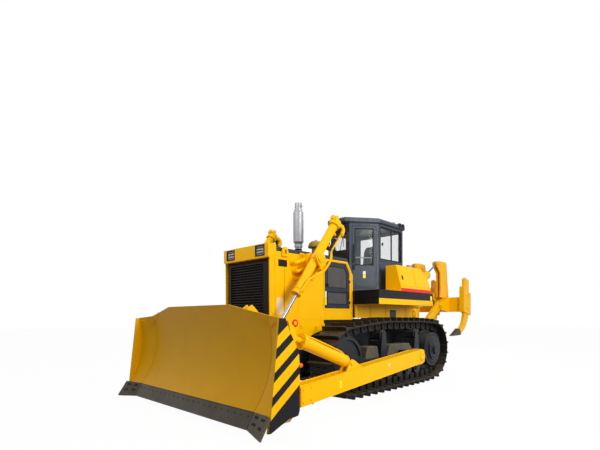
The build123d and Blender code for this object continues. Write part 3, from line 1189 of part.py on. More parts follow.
def ripper_beam():
    """Cross beam with its lugs, the two masts and the shank holders."""
    pieces = [block(BEAM_BACK_X, BEAM_FRONT_X, -BEAM_HALF, BEAM_HALF, BEAM_BOTTOM_Z, BEAM_TOP_Z)]
    low = [(BEAM_FRONT_X - 1, BEAM_BOTTOM_Z), (LOW_PIN[0] + 20, LOW_PIN[1] - 110), (LOW_PIN[0] + 95, LOW_PIN[1]),
           (LOW_PIN[0] + 20, LOW_PIN[1] + 110), (BEAM_FRONT_X - 1, BEAM_TOP_Z)]
    hoist = [(BEAM_FRONT_X - 1, BEAM_TOP_Z - 200), (HOIST_EYE[0] + 70, HOIST_EYE[1] - 60),
             (HOIST_EYE[0] + 70, HOIST_EYE[1] + 60), (BEAM_FRONT_X - 1, BEAM_TOP_Z + 160),
             (BEAM_BACK_X, BEAM_TOP_Z + 40), (BEAM_BACK_X, BEAM_TOP_Z - 1)]
    mast = [(BEAM_BACK_X + 60, BEAM_TOP_Z - 1), (BEAM_BACK_X + 190, MAST_TOP_Z - 90), (BEAM_BACK_X + 240, MAST_TOP_Z),
            (UP_PIN[0] - 60, MAST_TOP_Z), (UP_PIN[0] + 80, UP_PIN[1] + 40), (UP_PIN[0] + 80, UP_PIN[1] - 60),
            (UP_PIN[0] - 150, UP_PIN[1] - 260), (BEAM_FRONT_X + 220, BEAM_TOP_Z + 250),
            (BEAM_FRONT_X + 250, BEAM_TOP_Z - 1)]
    for side in (-1, 1):
        pieces += lug_pair(low, side * ARM_Y, ARM_THICK / 2 + LUG_GAP)
        pieces += lug_pair(hoist, side * HOIST_Y, EYE_WIDTH / 2 + LUG_GAP)
        pieces += lug_pair(mast, side * LINK_Y, EYE_WIDTH / 2 + LUG_GAP)
        y = side * LINK_Y
        pieces.append(block(BEAM_BACK_X + 200, BEAM_FRONT_X, y - 36, y + 36, BEAM_TOP_Z - 1, UP_PIN[1] - 300))
    for y in SHANK_YS:
        holder = side_slab([(HOLDER_FRONT_X, BEAM_BOTTOM_Z), (HOLDER_FRONT_X, 2335), (HOLDER_FRONT_X - 130, 2335),
                            (HOLDER_FRONT_X - 130, 2170), (REAR_X + 15, 2170), (REAR_X, 2050), (REAR_X, 1520)],
                           y - HOLDER_HALF, y + HOLDER_HALF)
        pieces.append(holder)
    beam = fuse(pieces)
    for y in SHANK_YS:
        beam -= block(SHANK_BACK_X - 2, SHANK_FRONT_X + 2, y - SHANK_THICK / 2 - 2, y + SHANK_THICK / 2 + 2,
                      BEAM_BOTTOM_Z - 400, SHANK_TOP_Z)
    for side in (-1, 1):
        for (x, z), y, half in ((LOW_PIN, ARM_Y, ARM_THICK / 2), (UP_PIN, LINK_Y, EYE_WIDTH / 2)):
            beam += cross_pin(x, z, side * y - half - LUG_GAP - 1, side * y + half + LUG_GAP + 1, PIN_R)
    return beam


def ripper_shank(y):
    """Straight upper blade that curves forward to its tooth."""
    front, back, bend, top = SHANK_FRONT_X, SHANK_BACK_X, SHANK_BEND_Z, SHANK_TOP_Z
    points = [(front, y, top - 50), (front, y, bend), (SHANK_NOSE[0], y, SHANK_NOSE[1]),
              (SHANK_HEEL[0], y, SHANK_HEEL[1]), (back, y, bend), (back, y, top - 70), (front - 60, y, top)]
    edges = [Line(points[0], points[1]),
             ThreePointArc(points[1], (SHANK_IN[0], y, SHANK_IN[1]), points[2]),
             Line(points[2], points[3]),
             ThreePointArc(points[3], (SHANK_OUT[0], y, SHANK_OUT[1]), points[4]),
             Line(points[4], points[5]), Line(points[5], points[6]), Line(points[6], points[0])]
    shank = extrude(make_face(edges), amount=SHANK_THICK, dir=(0, 1, 0))
    return Pos(0, -SHANK_THICK / 2, 0) * shank


def ripper_tooth(y):
    tip_x, tip_z = TOOTH_TIP
    nose_x, nose_z = SHANK_NOSE
    heel_x, heel_z = SHANK_HEEL
    return side_slab([(nose_x, nose_z), (nose_x + 75, nose_z + 20), (tip_x, tip_z), (heel_x + 190, heel_z - 38),
                      (heel_x - 10, heel_z - 25), (heel_x, heel_z)],
                     y - SHANK_THICK / 2 - 12, y + SHANK_THICK / 2 + 12)


def link_cylinder():
    """Upper link of the four-bar: a cylinder whose length stays as it is."""
    tube = cylinder_tube(UP_BASE, UP_PIN, LINK_Y, 110, LINK_GLAND, LINK_TUBE_R, LINK_ROD_R)
    neck = toward(UP_BASE, UP_PIN, 120)
    tube += bar((UP_BASE[0], LINK_Y, UP_BASE[1]), (neck[0], LINK_Y, neck[1]), EYE_WIDTH / 2)
    tube += cross_pin(UP_BASE[0], UP_BASE[1], LINK_Y - EYE_WIDTH / 2, LINK_Y + EYE_WIDTH / 2, 78)
    return tube - cross_pin(UP_BASE[0], UP_BASE[1], LINK_Y - 90, LINK_Y + 90, PIN_R + FIT)


def link_rod():
    inside = toward(UP_BASE, UP_PIN, LINK_GLAND - 200)
    rod = bar((inside[0], LINK_Y, inside[1]), (UP_PIN[0], LINK_Y, UP_PIN[1]), LINK_ROD_R - 17)
    rod += cross_pin(UP_PIN[0], UP_PIN[1], LINK_Y - EYE_WIDTH / 2, LINK_Y + EYE_WIDTH / 2, 70)
    return rod - cross_pin(UP_PIN[0], UP_PIN[1], LINK_Y - EYE_WIDTH, LINK_Y + EYE_WIDTH, PIN_R + FIT)


def hoist_tube():
    tube = cylinder_tube(HOIST_BASE, HOIST_EYE, HOIST_Y, 100, HOIST_GLAND, HOIST_TUBE_R, HOIST_ROD_R)
    neck = toward(HOIST_BASE, HOIST_EYE, 110)
    tube += bar((HOIST_BASE[0], HOIST_Y, HOIST_BASE[1]), (neck[0], HOIST_Y, neck[1]), EYE_WIDTH / 2)
    tube += cross_pin(HOIST_BASE[0], HOIST_BASE[1], HOIST_Y - EYE_WIDTH / 2, HOIST_Y + EYE_WIDTH / 2, 66)
    return tube - cross_pin(HOIST_BASE[0], HOIST_BASE[1], HOIST_Y - 90, HOIST_Y + 90, PIN_R + FIT)


def hoist_rod():
    length = hypot(HOIST_EYE[0] - HOIST_BASE[0], HOIST_EYE[1] - HOIST_BASE[1])
    inside = toward(HOIST_BASE, HOIST_EYE, HOIST_GLAND - 700)
    neck = toward(HOIST_BASE, HOIST_EYE, length - HOIST_NECK)
    rod = bar((inside[0], HOIST_Y, inside[1]), (neck[0], HOIST_Y, neck[1]), HOIST_ROD_R)
    rod += bar((neck[0], HOIST_Y, neck[1]), (HOIST_EYE[0], HOIST_Y, HOIST_EYE[1]), EYE_WIDTH / 2)
    return rod + cross_pin(HOIST_EYE[0], HOIST_EYE[1], HOIST_Y - EYE_WIDTH / 2, HOIST_Y + EYE_WIDTH / 2, 66)


def main():
    os.makedirs("parts", exist_ok=True)
    write("tracks", both(track()))
    write("idlers", both(idler()))
    write("sprockets", both(sprocket()))
    write("track_frames", both(track_frame()))
    write("track_rollers", [r for wheel in track_rollers() for r in both(wheel)])
    write("final_drives", [d for drive in final_drive() for d in both(drive)])
    write("main_frame", main_frame())
    write("skirts", skirts())
    write("rear_housing", rear_housing())
    write("engine_block", engine_block())
    write("equalizer_bar", equalizer_bar())
    write("arm_trunnions", [t for item in trunnion() for t in both(item)])
    write("radiator_guard", radiator_guard())
    write("tow_clevis", tow_clevis())
    write("radiator_grille", radiator_grille())
    write("headlamps", headlamps())
    write("hood", hood())
    write("hood_cover", hood_cover())
    write("engine_door_left", engine_door())
    write("engine_door_right", mirrored(engine_door()))
    write("muffler", muffler())
    write("precleaner", precleaner())
    write("cab_mounts", cab_mounts())
    write("cab_shell", cab_shell())
    write("cab_roof", cab_roof())
    write("cab_glass", cab_glass())
    write("cab_door_left", cab_door())
    write("cab_door_right", mirrored(cab_door()))
    write("cab_door_glass_left", cab_door_glass())
    write("cab_door_glass_right", mirrored(cab_door_glass()))
    write("seat", seat())
    write("console", console())
    write("work_lamps", work_lamps())
    write("fenders", fuse(both(fender())))
    write("tanks", both(tank()))
    write("lift_yokes", both(lift_yoke()))
    write("moldboard", moldboard())
    write("side_plates", both(side_plate()))
    write("blade_back", blade_back())
    write("cutting_edge", edge_parts())
    write("end_bits", both(end_bit() - side_plate()))
    write("push_arms", both(push_arm()))
    write("lift_tube_left", lift_tube())
    write("lift_tube_right", mirrored(lift_tube()))
    write("lift_rod_left", lift_rod())
    write("lift_rod_right", mirrored(lift_rod()))
    write("tilt_cylinder", tilt_cylinder())
    write("tilt_rod", tilt_rod())
    write("tilt_brace", tilt_brace())
    write("ripper_bracket", ripper_bracket())
    write("ripper_arms", both(ripper_arm()))
    write("ripper_beam", ripper_beam())
    write("ripper_shanks", [ripper_shank(y) for y in SHANK_YS])
    write("ripper_teeth", [ripper_tooth(y) for y in SHANK_YS])
    write("link_cylinders", both(link_cylinder()))
    write("link_rods", both(link_rod()))
    write("hoist_tubes", both(hoist_tube()))
    write("hoist_rods", both(hoist_rod()))


main()
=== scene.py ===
"""Looks of a crawler bulldozer with a rear ripper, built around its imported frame.  All lengths are in metres."""
from math import atan2, cos, hypot, pi, radians, sin, sqrt

import bmesh
import bpy
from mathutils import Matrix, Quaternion, Vector


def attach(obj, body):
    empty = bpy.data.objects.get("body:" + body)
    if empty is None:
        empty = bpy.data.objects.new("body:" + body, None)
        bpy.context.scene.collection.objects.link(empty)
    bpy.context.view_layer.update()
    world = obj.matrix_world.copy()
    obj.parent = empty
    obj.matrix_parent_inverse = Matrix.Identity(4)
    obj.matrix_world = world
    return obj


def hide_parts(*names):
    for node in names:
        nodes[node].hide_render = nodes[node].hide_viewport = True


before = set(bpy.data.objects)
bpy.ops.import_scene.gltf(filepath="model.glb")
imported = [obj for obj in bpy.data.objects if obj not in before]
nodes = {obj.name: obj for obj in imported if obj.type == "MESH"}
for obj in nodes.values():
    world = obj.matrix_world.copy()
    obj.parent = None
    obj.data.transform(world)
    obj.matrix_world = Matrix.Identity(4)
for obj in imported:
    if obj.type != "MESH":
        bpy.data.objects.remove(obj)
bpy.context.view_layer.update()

# ---- sizes shared with the frame ----
TRACK_Y = 1.07                # middle of a track
SHOE_WIDTH = 0.56
SHOE_PITCH = 0.2286
BLADE_HALF = 2.05
HOOD_HALF = 0.63
PIVOT = (-0.2, 0.665)         # trunnion of a push arm, x and z
ARM_Y = 1.69                  # outer face of a push arm
YOKE = (2.11, 0.881, 2.494)
LIFT_EYE = (3.368, 0.881, 0.815)
TILT_FOOT = (2.085, 1.59, 0.724)
TILT_HEAD = (3.64, 1.59, 1.297)
ARM_PIN = (-2.2, 1.03)        # the ripper's pins, x and z
LOW_PIN = (-3.4, 1.79)
UP_PIN = (-3.5, 3.0)
UP_BASE = (-2.3, 2.24)
HOIST_BASE = (-2.27, 1.96)
HOIST_EYE = (-3.59, 2.09)

SIDES = (("left", 1), ("right", -1))
OUT = (0, 1, 0)               # out of a face on the left side
UP = (0, 0, 1)


# ---- materials ----
def material(name):
    made = bpy.data.materials.new(name)
    made.use_nodes = True
    tree = made.node_tree
    return made, tree, tree.nodes["Principled BSDF"]


def add(tree, kind, inputs=None, **settings):
    """A new node; inputs gives each socket a number, a colour, or the output that feeds it."""
    node = tree.nodes.new("ShaderNode" + kind)
    for name, value in settings.items():
        setattr(node, name, value)
    feed(tree, node, inputs or {})
    return node


def feed(tree, node, inputs):
    for socket, value in inputs.items():
        if isinstance(value, bpy.types.NodeSocket):
            tree.links.new(value, node.inputs[socket])
        else:
            node.inputs[socket].default_value = value


def noise(tree, scale, detail=4.0):
    """Noise over the object's own coordinates."""
    where = add(tree, "TexCoord").outputs["Object"]
    return add(tree, "TexNoise", {"Vector": where, "Scale": scale, "Detail": detail, "Roughness": 0.55}).outputs["Fac"]


def ramp(tree, value, *stops):
    """Runs a value through stops of (place, colour or grey)."""
    node = add(tree, "ValToRGB", {"Fac": value})
    for element, (place, color) in zip(node.color_ramp.elements, stops):
        element.position = place
        element.color = (*(color if isinstance(color, tuple) else (color,) * 3), 1.0)
    return node.outputs["Color"]


def maths(tree, operation, one, two):
    return add(tree, "Math", {0: one, 1: two}, operation=operation).outputs[0]


def dusted(tree, color, dust, share):
    """Lays dust on what faces up."""
    facing = add(tree, "NewGeometry").outputs["Normal"]
    rise = ramp(tree, add(tree, "SeparateXYZ", {"Vector": facing}).outputs["Z"], (0.3, 0.0), (0.8, share))
    patches = ramp(tree, noise(tree, 9.0, 6.0), (0.25, 0.55), (0.65, 1.0))
    cover = maths(tree, "MULTIPLY", rise, patches)
    return add(tree, "Mix", {"Factor": cover, "A": color, "B": (*dust, 1.0)}, data_type="RGBA").outputs["Result"]


def paint(name, color, rough, coat=0.0, edge=0.0, spread=0.06, metallic=0.0, grain=3.0, strength=0.10,
          specular=0.2, dust=None, share=0.8):
    """Sprayed paint: faint blotches in colour and gloss, the fine ripple of a sprayed coat, and soft edges."""
    made, tree, shader = material(name)
    low, high = (tuple(min(1.0, c * change) for c in color) for change in (1 - spread, 1 + spread))
    tone = ramp(tree, noise(tree, grain), (0.3, low), (0.7, high))
    if dust:
        tone = dusted(tree, tone, dust, share)
    gloss = ramp(tree, noise(tree, grain * 4, 6.0), (0.3, rough * 0.8), (0.75, rough * 1.25))
    feed(tree, shader, {"Base Color": tone, "Roughness": gloss, "Metallic": metallic, "Coat Weight": coat,
                        "Specular IOR Level": specular, "Coat Roughness": 0.12})
    if strength:
        relief = {"Height": noise(tree, 260.0, 2.0), "Strength": strength, "Distance": 0.0006}
        if edge:
            relief["Normal"] = add(tree, "Bevel", {"Radius": edge}, samples=4).outputs["Normal"]
        feed(tree, shader, {"Normal": add(tree, "Bump", relief).outputs["Normal"]})
    return made


def glass(name, color, alpha, rough=0.02):
    made, tree, shader = material(name)
    tone = ramp(tree, noise(tree, 2.0), (0.3, color), (0.7, tuple(c * 1.15 for c in color)))
    feed(tree, shader, {"Base Color": tone, "Roughness": rough, "Alpha": alpha, "IOR": 1.5})
    return made


YELLOW = (0.93, 0.495, 0.0)
EARTH = (0.135, 0.118, 0.078)
LOOKS = {
    "yellow": paint("yellow_paint", YELLOW, 0.34, coat=0.03, edge=0.004, spread=0.03, specular=0.1),
    # blade: a darker copy of the yellow paint for the moldboard and its welds; the darkening is painted shade, standing
    # for the shade the moldboard sits in
    "blade": paint("blade_yellow_painted_shade", (0.8, 0.405, 0.0), 0.4, coat=0.02, edge=0.004, spread=0.03, specular=0.12),
    # pale: the push arms' pale tags, and also a painted reflection: the pale plate on the guard's side stands for a
    # glare on that panel
    "pale": paint("pale_tag_and_painted_glare", (0.8, 0.66, 0.42), 0.45, spread=0.03),
    "orange": paint("orange_marker", (0.9, 0.11, 0.01), 0.35, spread=0.04),
    "chain": paint("chain_steel", (0.012, 0.01, 0.009), 0.6, spread=0.3, strength=0.2, dust=EARTH, share=0.35),
    "mesh": paint("mesh_steel", (0.2, 0.188, 0.18), 0.55, spread=0.1),
    "navy": paint("door_paint", (0.022, 0.028, 0.044), 0.36, coat=0.06, edge=0.004, spread=0.05),
    "bolt": paint("bolt_steel", (0.02, 0.016, 0.012), 0.5, spread=0.2),
    "lens": glass("lens_glass", (0.8, 0.82, 0.85), 0.9, 0.05),
    "black": paint("black_paint", (0.008, 0.008, 0.01), 0.45, edge=0.003, specular=0.15),
    "under": paint("undercarriage_paint", (0.018, 0.021, 0.027), 0.45, edge=0.004, spread=0.15, dust=EARTH,
                   share=0.75),
    "dusty": paint("dusty_paint", (0.095, 0.086, 0.064), 0.7, spread=0.2, grain=7.0, dust=(0.2, 0.175, 0.125),
                   share=1.0),
    "track": paint("track_steel", (0.014, 0.012, 0.01), 0.5, edge=0.003, spread=0.25, strength=0.2, dust=EARTH,
                   share=0.62),
    "edge": paint("edge_steel", (0.078, 0.064, 0.046), 0.48, edge=0.003, spread=0.2, metallic=0.15, strength=0.3),
    "tooth": paint("tooth_steel", (0.06, 0.048, 0.036), 0.5, edge=0.003, spread=0.25, metallic=0.15, strength=0.3),
    "slate": paint("cab_paint", (0.042, 0.058, 0.084), 0.36, coat=0.06, edge=0.004, spread=0.05),
    "grille": paint("grille_paint", (0.013, 0.01, 0.008), 0.5, spread=0.2),
    "cover": paint("cover_paint", (0.04, 0.047, 0.058), 0.45, edge=0.004, spread=0.08),
    "chrome": paint("chrome", (0.24, 0.24, 0.26), 0.3, metallic=0.8, spread=0.02, strength=0),
    "stack": paint("stack_silver", (0.34, 0.35, 0.37), 0.42, metallic=0.4, spread=0.05, strength=0),
    "brass": paint("cleaner_paint", (0.42, 0.26, 0.03), 0.42, edge=0.004, spread=0.08),
    "red": paint("red_paint", (0.72, 0.02, 0.012), 0.4, spread=0.05),
    "white": paint("white_paint", (0.8, 0.8, 0.78), 0.4, spread=0.03),
    "tag": paint("tag_yellow", (0.95, 0.8, 0.02), 0.4, spread=0.03),
    "rubber": paint("rubber", (0.014, 0.014, 0.014), 0.75, spread=0.2, strength=0.3),
    "plastic": paint("dark_plastic", (0.022, 0.024, 0.028), 0.55, spread=0.15, strength=0.4),
    "cloth": paint("seat_cloth", (0.035, 0.04, 0.05), 0.9, spread=0.3, grain=60.0, strength=0.8),
    "engine": paint("engine_paint", (0.16, 0.15, 0.12), 0.6, spread=0.2, strength=0.5),
    "window": glass("window_glass", (0.3, 0.36, 0.4), 0.1),
    "lamp": glass("lamp_glass", (0.85, 0.87, 0.9), 0.75, 0.05),
}
SLOTS = {                     # the record's material slots, and the looks whose pieces take their finish from each
    "yellow": "yellow blade pale orange red white tag",
    "dark_plastic": "black cover rubber plastic",
    "track_steel": "chain track",
    "cab_slate": "mesh slate",
    "edge_steel": "bolt tooth",
    "undercarriage": "under dusty",
    "lamp": "lens",
    "grille_black": "grille",
    "chrome_rod": "chrome",
    "stack_silver": "stack",
    "cleaner_brass": "brass",
    "seat_cloth": "cloth",
}
SLOT_OF = {look: slot for slot, looks in SLOTS.items() for look in looks.split()}
NODE_LOOKS = {
    "track": "tracks",
    "under": "idlers sprockets track_frames track_rollers final_drives main_frame equalizer_bar arm_trunnions",
    "yellow": "skirts rear_housing radiator_guard hood fenders tanks lift_yokes side_plates blade_back push_arms "
              "lift_tube_left lift_tube_right tilt_cylinder tilt_brace ripper_bracket ripper_arms ripper_beam "
              "ripper_shanks link_cylinders hoist_tubes tow_clevis",
    "engine": "engine_block",
    "grille": "radiator_grille",
    "lamp": "headlamps",
    "cover": "hood_cover",
    "navy": "engine_door_left engine_door_right",
    "stack": "muffler",
    "brass": "precleaner",
    "slate": "cab_shell cab_roof cab_door_left cab_door_right",
    "window": "cab_glass cab_door_glass_left cab_door_glass_right",
    "cloth": "seat",
    "plastic": "console work_lamps",
    "blade": "moldboard",
    "edge": "cutting_edge end_bits",
    "chrome": "lift_rod_left lift_rod_right tilt_rod link_rods hoist_rods",
    "tooth": "ripper_teeth",
    "rubber": "cab_mounts",
}
for look, names in NODE_LOOKS.items():
    for node in names.split():
        for place in nodes[node].material_slots:
            place.material = LOOKS[look]

# ---- camera ----
PHOTO_WIDTH = 600.0
PHOTO_HEIGHT = 450.0
CAMERA_AT = Vector((7.1756, 5.6477, 1.471))
CAMERA_YAW = -137.16
CAMERA_PITCH = -0.71
CAMERA_ROLL = 0.15
FOCAL = 397.54                # focal length, in the photograph's pixels
CENTRE = (318.7, 322.2)       # where its axis meets the picture, in pixels
FILM = 36.0                   # millimetres


def link(name, data):
    """A new object in the scene."""
    made = bpy.data.objects.new(name, data)
    bpy.context.scene.collection.objects.link(made)
    return made


def make_camera():
    yaw, pitch, roll = radians(CAMERA_YAW), radians(CAMERA_PITCH), radians(CAMERA_ROLL)
    ahead = Vector((cos(pitch) * cos(yaw), cos(pitch) * sin(yaw), sin(pitch)))
    data = bpy.data.cameras.new("camera")
    data.sensor_fit = "HORIZONTAL"
    data.sensor_width = FILM
    data.lens = FILM * FOCAL / PHOTO_WIDTH
    data.shift_x = (PHOTO_WIDTH / 2 - CENTRE[0]) / PHOTO_WIDTH
    data.shift_y = (CENTRE[1] - PHOTO_HEIGHT / 2) / PHOTO_WIDTH
    data.clip_end = 200.0
    camera = link("camera", data)
    camera.location = CAMERA_AT
    camera.rotation_mode = "QUATERNION"
    camera.rotation_quaternion = ahead.to_track_quat("-Z", "Y") @ Quaternion((0, 0, 1), -roll)
    bpy.context.scene.camera = camera


# ---- light and floor ----
SKY_LIGHT = 0.46
FLOOR_WHITE = 0.92            # share of the floor's own white in what the camera sees; the rest shows the shadow
FLOOR_GLOW = 1.05
FLOOR_REACH = 60.0
LAMPS = (                     # name, place, aim, size, watts and colour
    ("key", (1.5, 10.5, 5.0), (0.3, 0.0, 1.4), 5.0, 860.0, (1.0, 0.97, 0.93)),
    ("cap", (4.0, 0.0, 4.7), (3.0, 0.0, 2.2), 2.0, 55.0, (1.0, 0.98, 0.95)),
    ("top", (-1.5, 2.0, 10.0), (-0.5, 0.0, 0.0), 6.0, 150.0, (1.0, 1.0, 1.0)),
    ("back", (-9.0, -6.0, 6.0), (0.0, 0.0, 1.5), 5.0, 420.0, (1.0, 1.0, 1.0)),
)


def blend_white(tree, lit, white, output, share):
    """Shows a background's own white to rays from the camera and those that pass or shine off glass or metal."""
    path = add(tree, "LightPath").outputs
    value = path["Is Camera Ray"]
    for other in ("Is Transmission Ray", "Is Glossy Ray"):
        value = maths(tree, "MAXIMUM", value, path[other])
    mix = add(tree, "MixShader", {"Fac": maths(tree, "MULTIPLY", value, share), 1: lit.outputs[0], 2: white.outputs[0]})
    feed(tree, tree.nodes[output], {"Surface": mix.outputs["Shader"]})


def make_stage():
    world = bpy.data.worlds.new("world")
    bpy.context.scene.world = world
    world.use_nodes = True
    tree = world.node_tree
    sky = tree.nodes["Background"]
    feed(tree, sky, {"Color": (0.95, 0.97, 1.0, 1.0), "Strength": SKY_LIGHT})
    white = add(tree, "Background", {"Color": (1.0, 1.0, 1.0, 1.0), "Strength": 1.0})
    blend_white(tree, sky, white, "World Output", 1.0)

    data = bpy.data.meshes.new("floor")
    data.from_pydata([(x * FLOOR_REACH, y * FLOOR_REACH, 0) for x, y in ((-1, -1), (1, -1), (1, 1), (-1, 1))], [],
                     [(0, 1, 2, 3)])
    floor = link("floor", data)
    made, tree, shader = material("floor_white")
    feed(tree, shader, {"Base Color": (0.4, 0.4, 0.4, 1.0), "Roughness": 0.9, "Specular IOR Level": 0.1})
    blend_white(tree, shader, add(tree, "Emission", {"Strength": FLOOR_GLOW}), "Material Output", FLOOR_WHITE)
    data.materials.append(made)

    for name, place, aim, size, power, color in LAMPS:
        data = bpy.data.lights.new(name, "AREA")
        data.size = size
        data.energy = power
        data.color = color
        lamp = link(name, data)
        lamp.location = place
        lamp.rotation_mode = "QUATERNION"
        lamp.rotation_quaternion = (Vector(aim) - Vector(place)).to_track_quat("-Z", "Y")
    bpy.context.scene.view_settings.view_transform = "Standard"


make_camera()
make_stage()


# ---- modelling helpers ----
def basis(axis):
    """Two unit vectors square to an axis, and the axis itself."""
    w = Vector(axis).normalized()
    u = w.orthogonal().normalized()
    if abs(w.z) < 0.9:
        u = Vector(UP).cross(w).normalized()
    return u, w.cross(u), w


def circle(centre, u, v, radius, count):
    return [centre + (u * cos(2 * pi * k / count) + v * sin(2 * pi * k / count)) * radius for k in range(count)]


def closed(points):
    """Each point of a closed outline with the next one."""
    return list(zip(points, points[1:] + points[:1]))


def rectangle(a0, a1, b0, b1):
    return [(a0, b0), (a1, b0), (a1, b1), (a0, b1)]


def inset(outline, distance):
    """A convex outline drawn in by this distance."""
    turn = 1 if sum(a[0] * b[1] - b[0] * a[1] for a, b in closed(outline)) > 0 else -1
    lines = []
    for (ax, ay), (bx, by) in closed(outline):
        size = hypot(bx - ax, by - ay)
        nx, ny = -(by - ay) / size * turn, (bx - ax) / size * turn
        lines.append(((ax + nx * distance, ay + ny * distance), (bx - ax, by - ay)))
    drawn = []
    for (p, d), (q, e) in zip(lines[-1:] + lines[:-1], lines):
        cross = d[0] * e[1] - d[1] * e[0]
        t = ((q[0] - p[0]) * e[1] - (q[1] - p[1]) * e[0]) / cross
        drawn.append((p[0] + d[0] * t, p[1] + d[1] * t))
    return drawn


def flank(y):
    """Places (x, z, depth) on a face that looks to the left."""
    return lambda x, z, d: Vector((x, y + d, z))


def on_front(x):
    return lambda y, z, d: Vector((x + d, y, z))


def on_top(z):
    return lambda x, y, d: Vector((x, y, z + d))


def across(base, towards):
    """Maps (along, out, y) near a slanted cylinder to a place, from its base point and its far end."""
    base = Vector(base)
    run = (Vector(towards) - base).normalized()
    out = Vector((run.z, 0, -run.x))
    return lambda a, p, y=0.0: base + run * a + out * p + Vector((0, y, 0))


class Piece:
    """Gathers solids into one mesh, which then rides on a body; a piece with side=-1 is mirrored to the right."""

    def __init__(self, name, look, bevel=0.003, body="tractor", slot=None, side=1, segments=2, smooth=40.0):
        self.name = name
        self.look = look
        self.bevel = bevel
        self.body = body
        self.slot = slot or SLOT_OF[look]
        self.side = side
        self.segments = segments
        self.smooth = smooth
        self.bm = bmesh.new()

    def all(self):
        return self.bm.verts[:] + self.bm.edges[:] + self.bm.faces[:]

    def loft(self, rings):
        """Skin between equal rings of points, closed at both ends."""
        made = [[self.bm.verts.new(p) for p in ring] for ring in rings]
        for low, high in zip(made, made[1:]):
            for (a, b), (c, d) in zip(closed(low), closed(high)):
                self.bm.faces.new((a, b, d, c))
        self.bm.faces.new(made[0][::-1])
        self.bm.faces.new(made[-1])

    def box(self, x0, x1, y0, y1, z0, z1):
        self.panel(rectangle(x0, x1, y0, y1), on_top(0), z0, z1)

    def panel(self, outline, place, low, high):
        """A plate of this outline; place maps (a, b, depth) to a point."""
        self.loft([[place(a, b, d) for a, b in outline] for d in (low, high)])

    def ring(self, outline, width, place, low, high):
        """A flat border inside an outline."""
        inner = inset(outline, width)
        rings = [[self.bm.verts.new(place(a, b, d)) for a, b in shape]
                 for shape, d in ((outline, low), (outline, high), (inner, high), (inner, low))]
        for one, two in closed(rings):
            for (a, b), (c, d) in zip(closed(one), closed(two)):
                self.bm.faces.new((a, b, d, c))

    def turned(self, profile, origin, axis, sides):
        """A turned form: profile of (distance along axis, radius)."""
        u, v, w = basis(axis)
        self.loft([circle(Vector(origin) + w * height, u, v, radius, sides) for height, radius in profile])

    def cap(self, origin, axis, sides, radius, height, *rest):
        """A disc of this radius and height, with (height, radius) steps on its face."""
        self.turned([(0, radius), (height, radius), *rest], origin, axis, sides)

    def pin_caps(self, middle, half, sides, *profile):
        """A cap at each end of a cross-wise pin."""
        for s in (-1, 1):
            self.cap(Vector(middle) + Vector((0, s * half, 0)), (0, s, 0), sides, *profile)

    def rod(self, start, end, radius, sides):
        run = Vector(end) - Vector(start)
        self.cap(start, run, sides, radius, run.length)

    def tube(self, points, radius, sides=12, steps=6):
        """A round tube through points, smoothed between them."""
        points = [Vector(p) for p in points]
        ends = [points[0] * 2 - points[1]] + points + [points[-1] * 2 - points[-2]]
        line = []
        for i in range(1, len(ends) - 2):
            a, b, c, d = ends[i - 1:i + 3]
            for k in range(steps):
                t = k / steps
                line.append(0.5 * ((2 * b) + (c - a) * t + (2 * a - 5 * b + 4 * c - d) * t * t
                                   + (3 * b - a - 3 * c + d) * t ** 3))
        line.append(points[-1])
        rings = []
        u = None
        for i, p in enumerate(line):
            along = (line[min(i + 1, len(line) - 1)] - line[max(i - 1, 0)]).normalized()
            u = along.orthogonal().normalized() if u is None else (u - along * u.dot(along)).normalized()
            rings.append(circle(p, u, along.cross(u), radius, sides))
        self.loft(rings)

    def bolt(self, place, axis, size, washer=True):
        """A hexagon head on its washer, standing out of a face along axis."""
        if washer:
            self.cap(place, axis, 14, size * 1.25, size * 0.22)
        self.turned([(size * 0.15, size), (size * 0.85, size), (size * 0.95, size * 0.85)], place, axis, 6)

    def bolts(self, y, places, size):
        """Bolts at these (x, z) of a face that looks to the left."""
        for x, z in places:
            self.bolt((x, y, z), OUT, size)

    def bolt_circle(self, centre, axis, radius, count, size):
        u, v, w = basis(axis)
        for place in circle(Vector(centre), u, v, radius, count):
            self.bolt(place, axis, size)

    def panels(self, place, *plates):
        """Plates given as (outline, low, high)."""
        for outline, low, high in plates:
            self.panel(outline, place, low, high)
        return self

    def both_sides(self):
        """Adds the mirror image of what is there, across the middle plane."""
        for v in bmesh.ops.duplicate(self.bm, geom=self.all())["geom"]:
            if isinstance(v, bmesh.types.BMVert):
                v.co.y = -v.co.y
        return self

    def done(self, *replaced):
        for v in self.bm.verts:
            v.co.y *= self.side
        self.bm.normal_update()
        bmesh.ops.recalc_face_normals(self.bm, faces=self.bm.faces[:])
        data = bpy.data.meshes.new(self.name)
        self.bm.to_mesh(data)
        self.bm.free()
        made = link(self.name, data)
        data.materials.append(LOOKS[self.look])
        for face in data.polygons:
            face.use_smooth = True
        data.set_sharp_from_angle(angle=radians(self.smooth))
        if self.bevel:
            rounding = made.modifiers.new("rounding", "BEVEL")
            rounding.width = self.bevel
            rounding.segments = self.segments
            rounding.limit_method = "ANGLE"
            rounding.angle_limit = radians(38)
            rounding.harden_normals = True
            rounding.use_clamp_overlap = True
        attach(made, self.body)
        if replaced:
            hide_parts(*replaced)
        return made


# ---- tracks ----
SEAT_RISE = 0.146 + 0.098     # from a carrier's middle to the shoe seat over it
WRAPS = ((1.585, 0.688, 0.59), (0.505, 1.372 - SEAT_RISE, SEAT_RISE), (-0.79, 1.362 - SEAT_RISE, SEAT_RISE),
         (-1.478, 0.724, 0.6), (-1.015, 0.356, 0.258))     # x, z and radius of the shoe seat's arcs


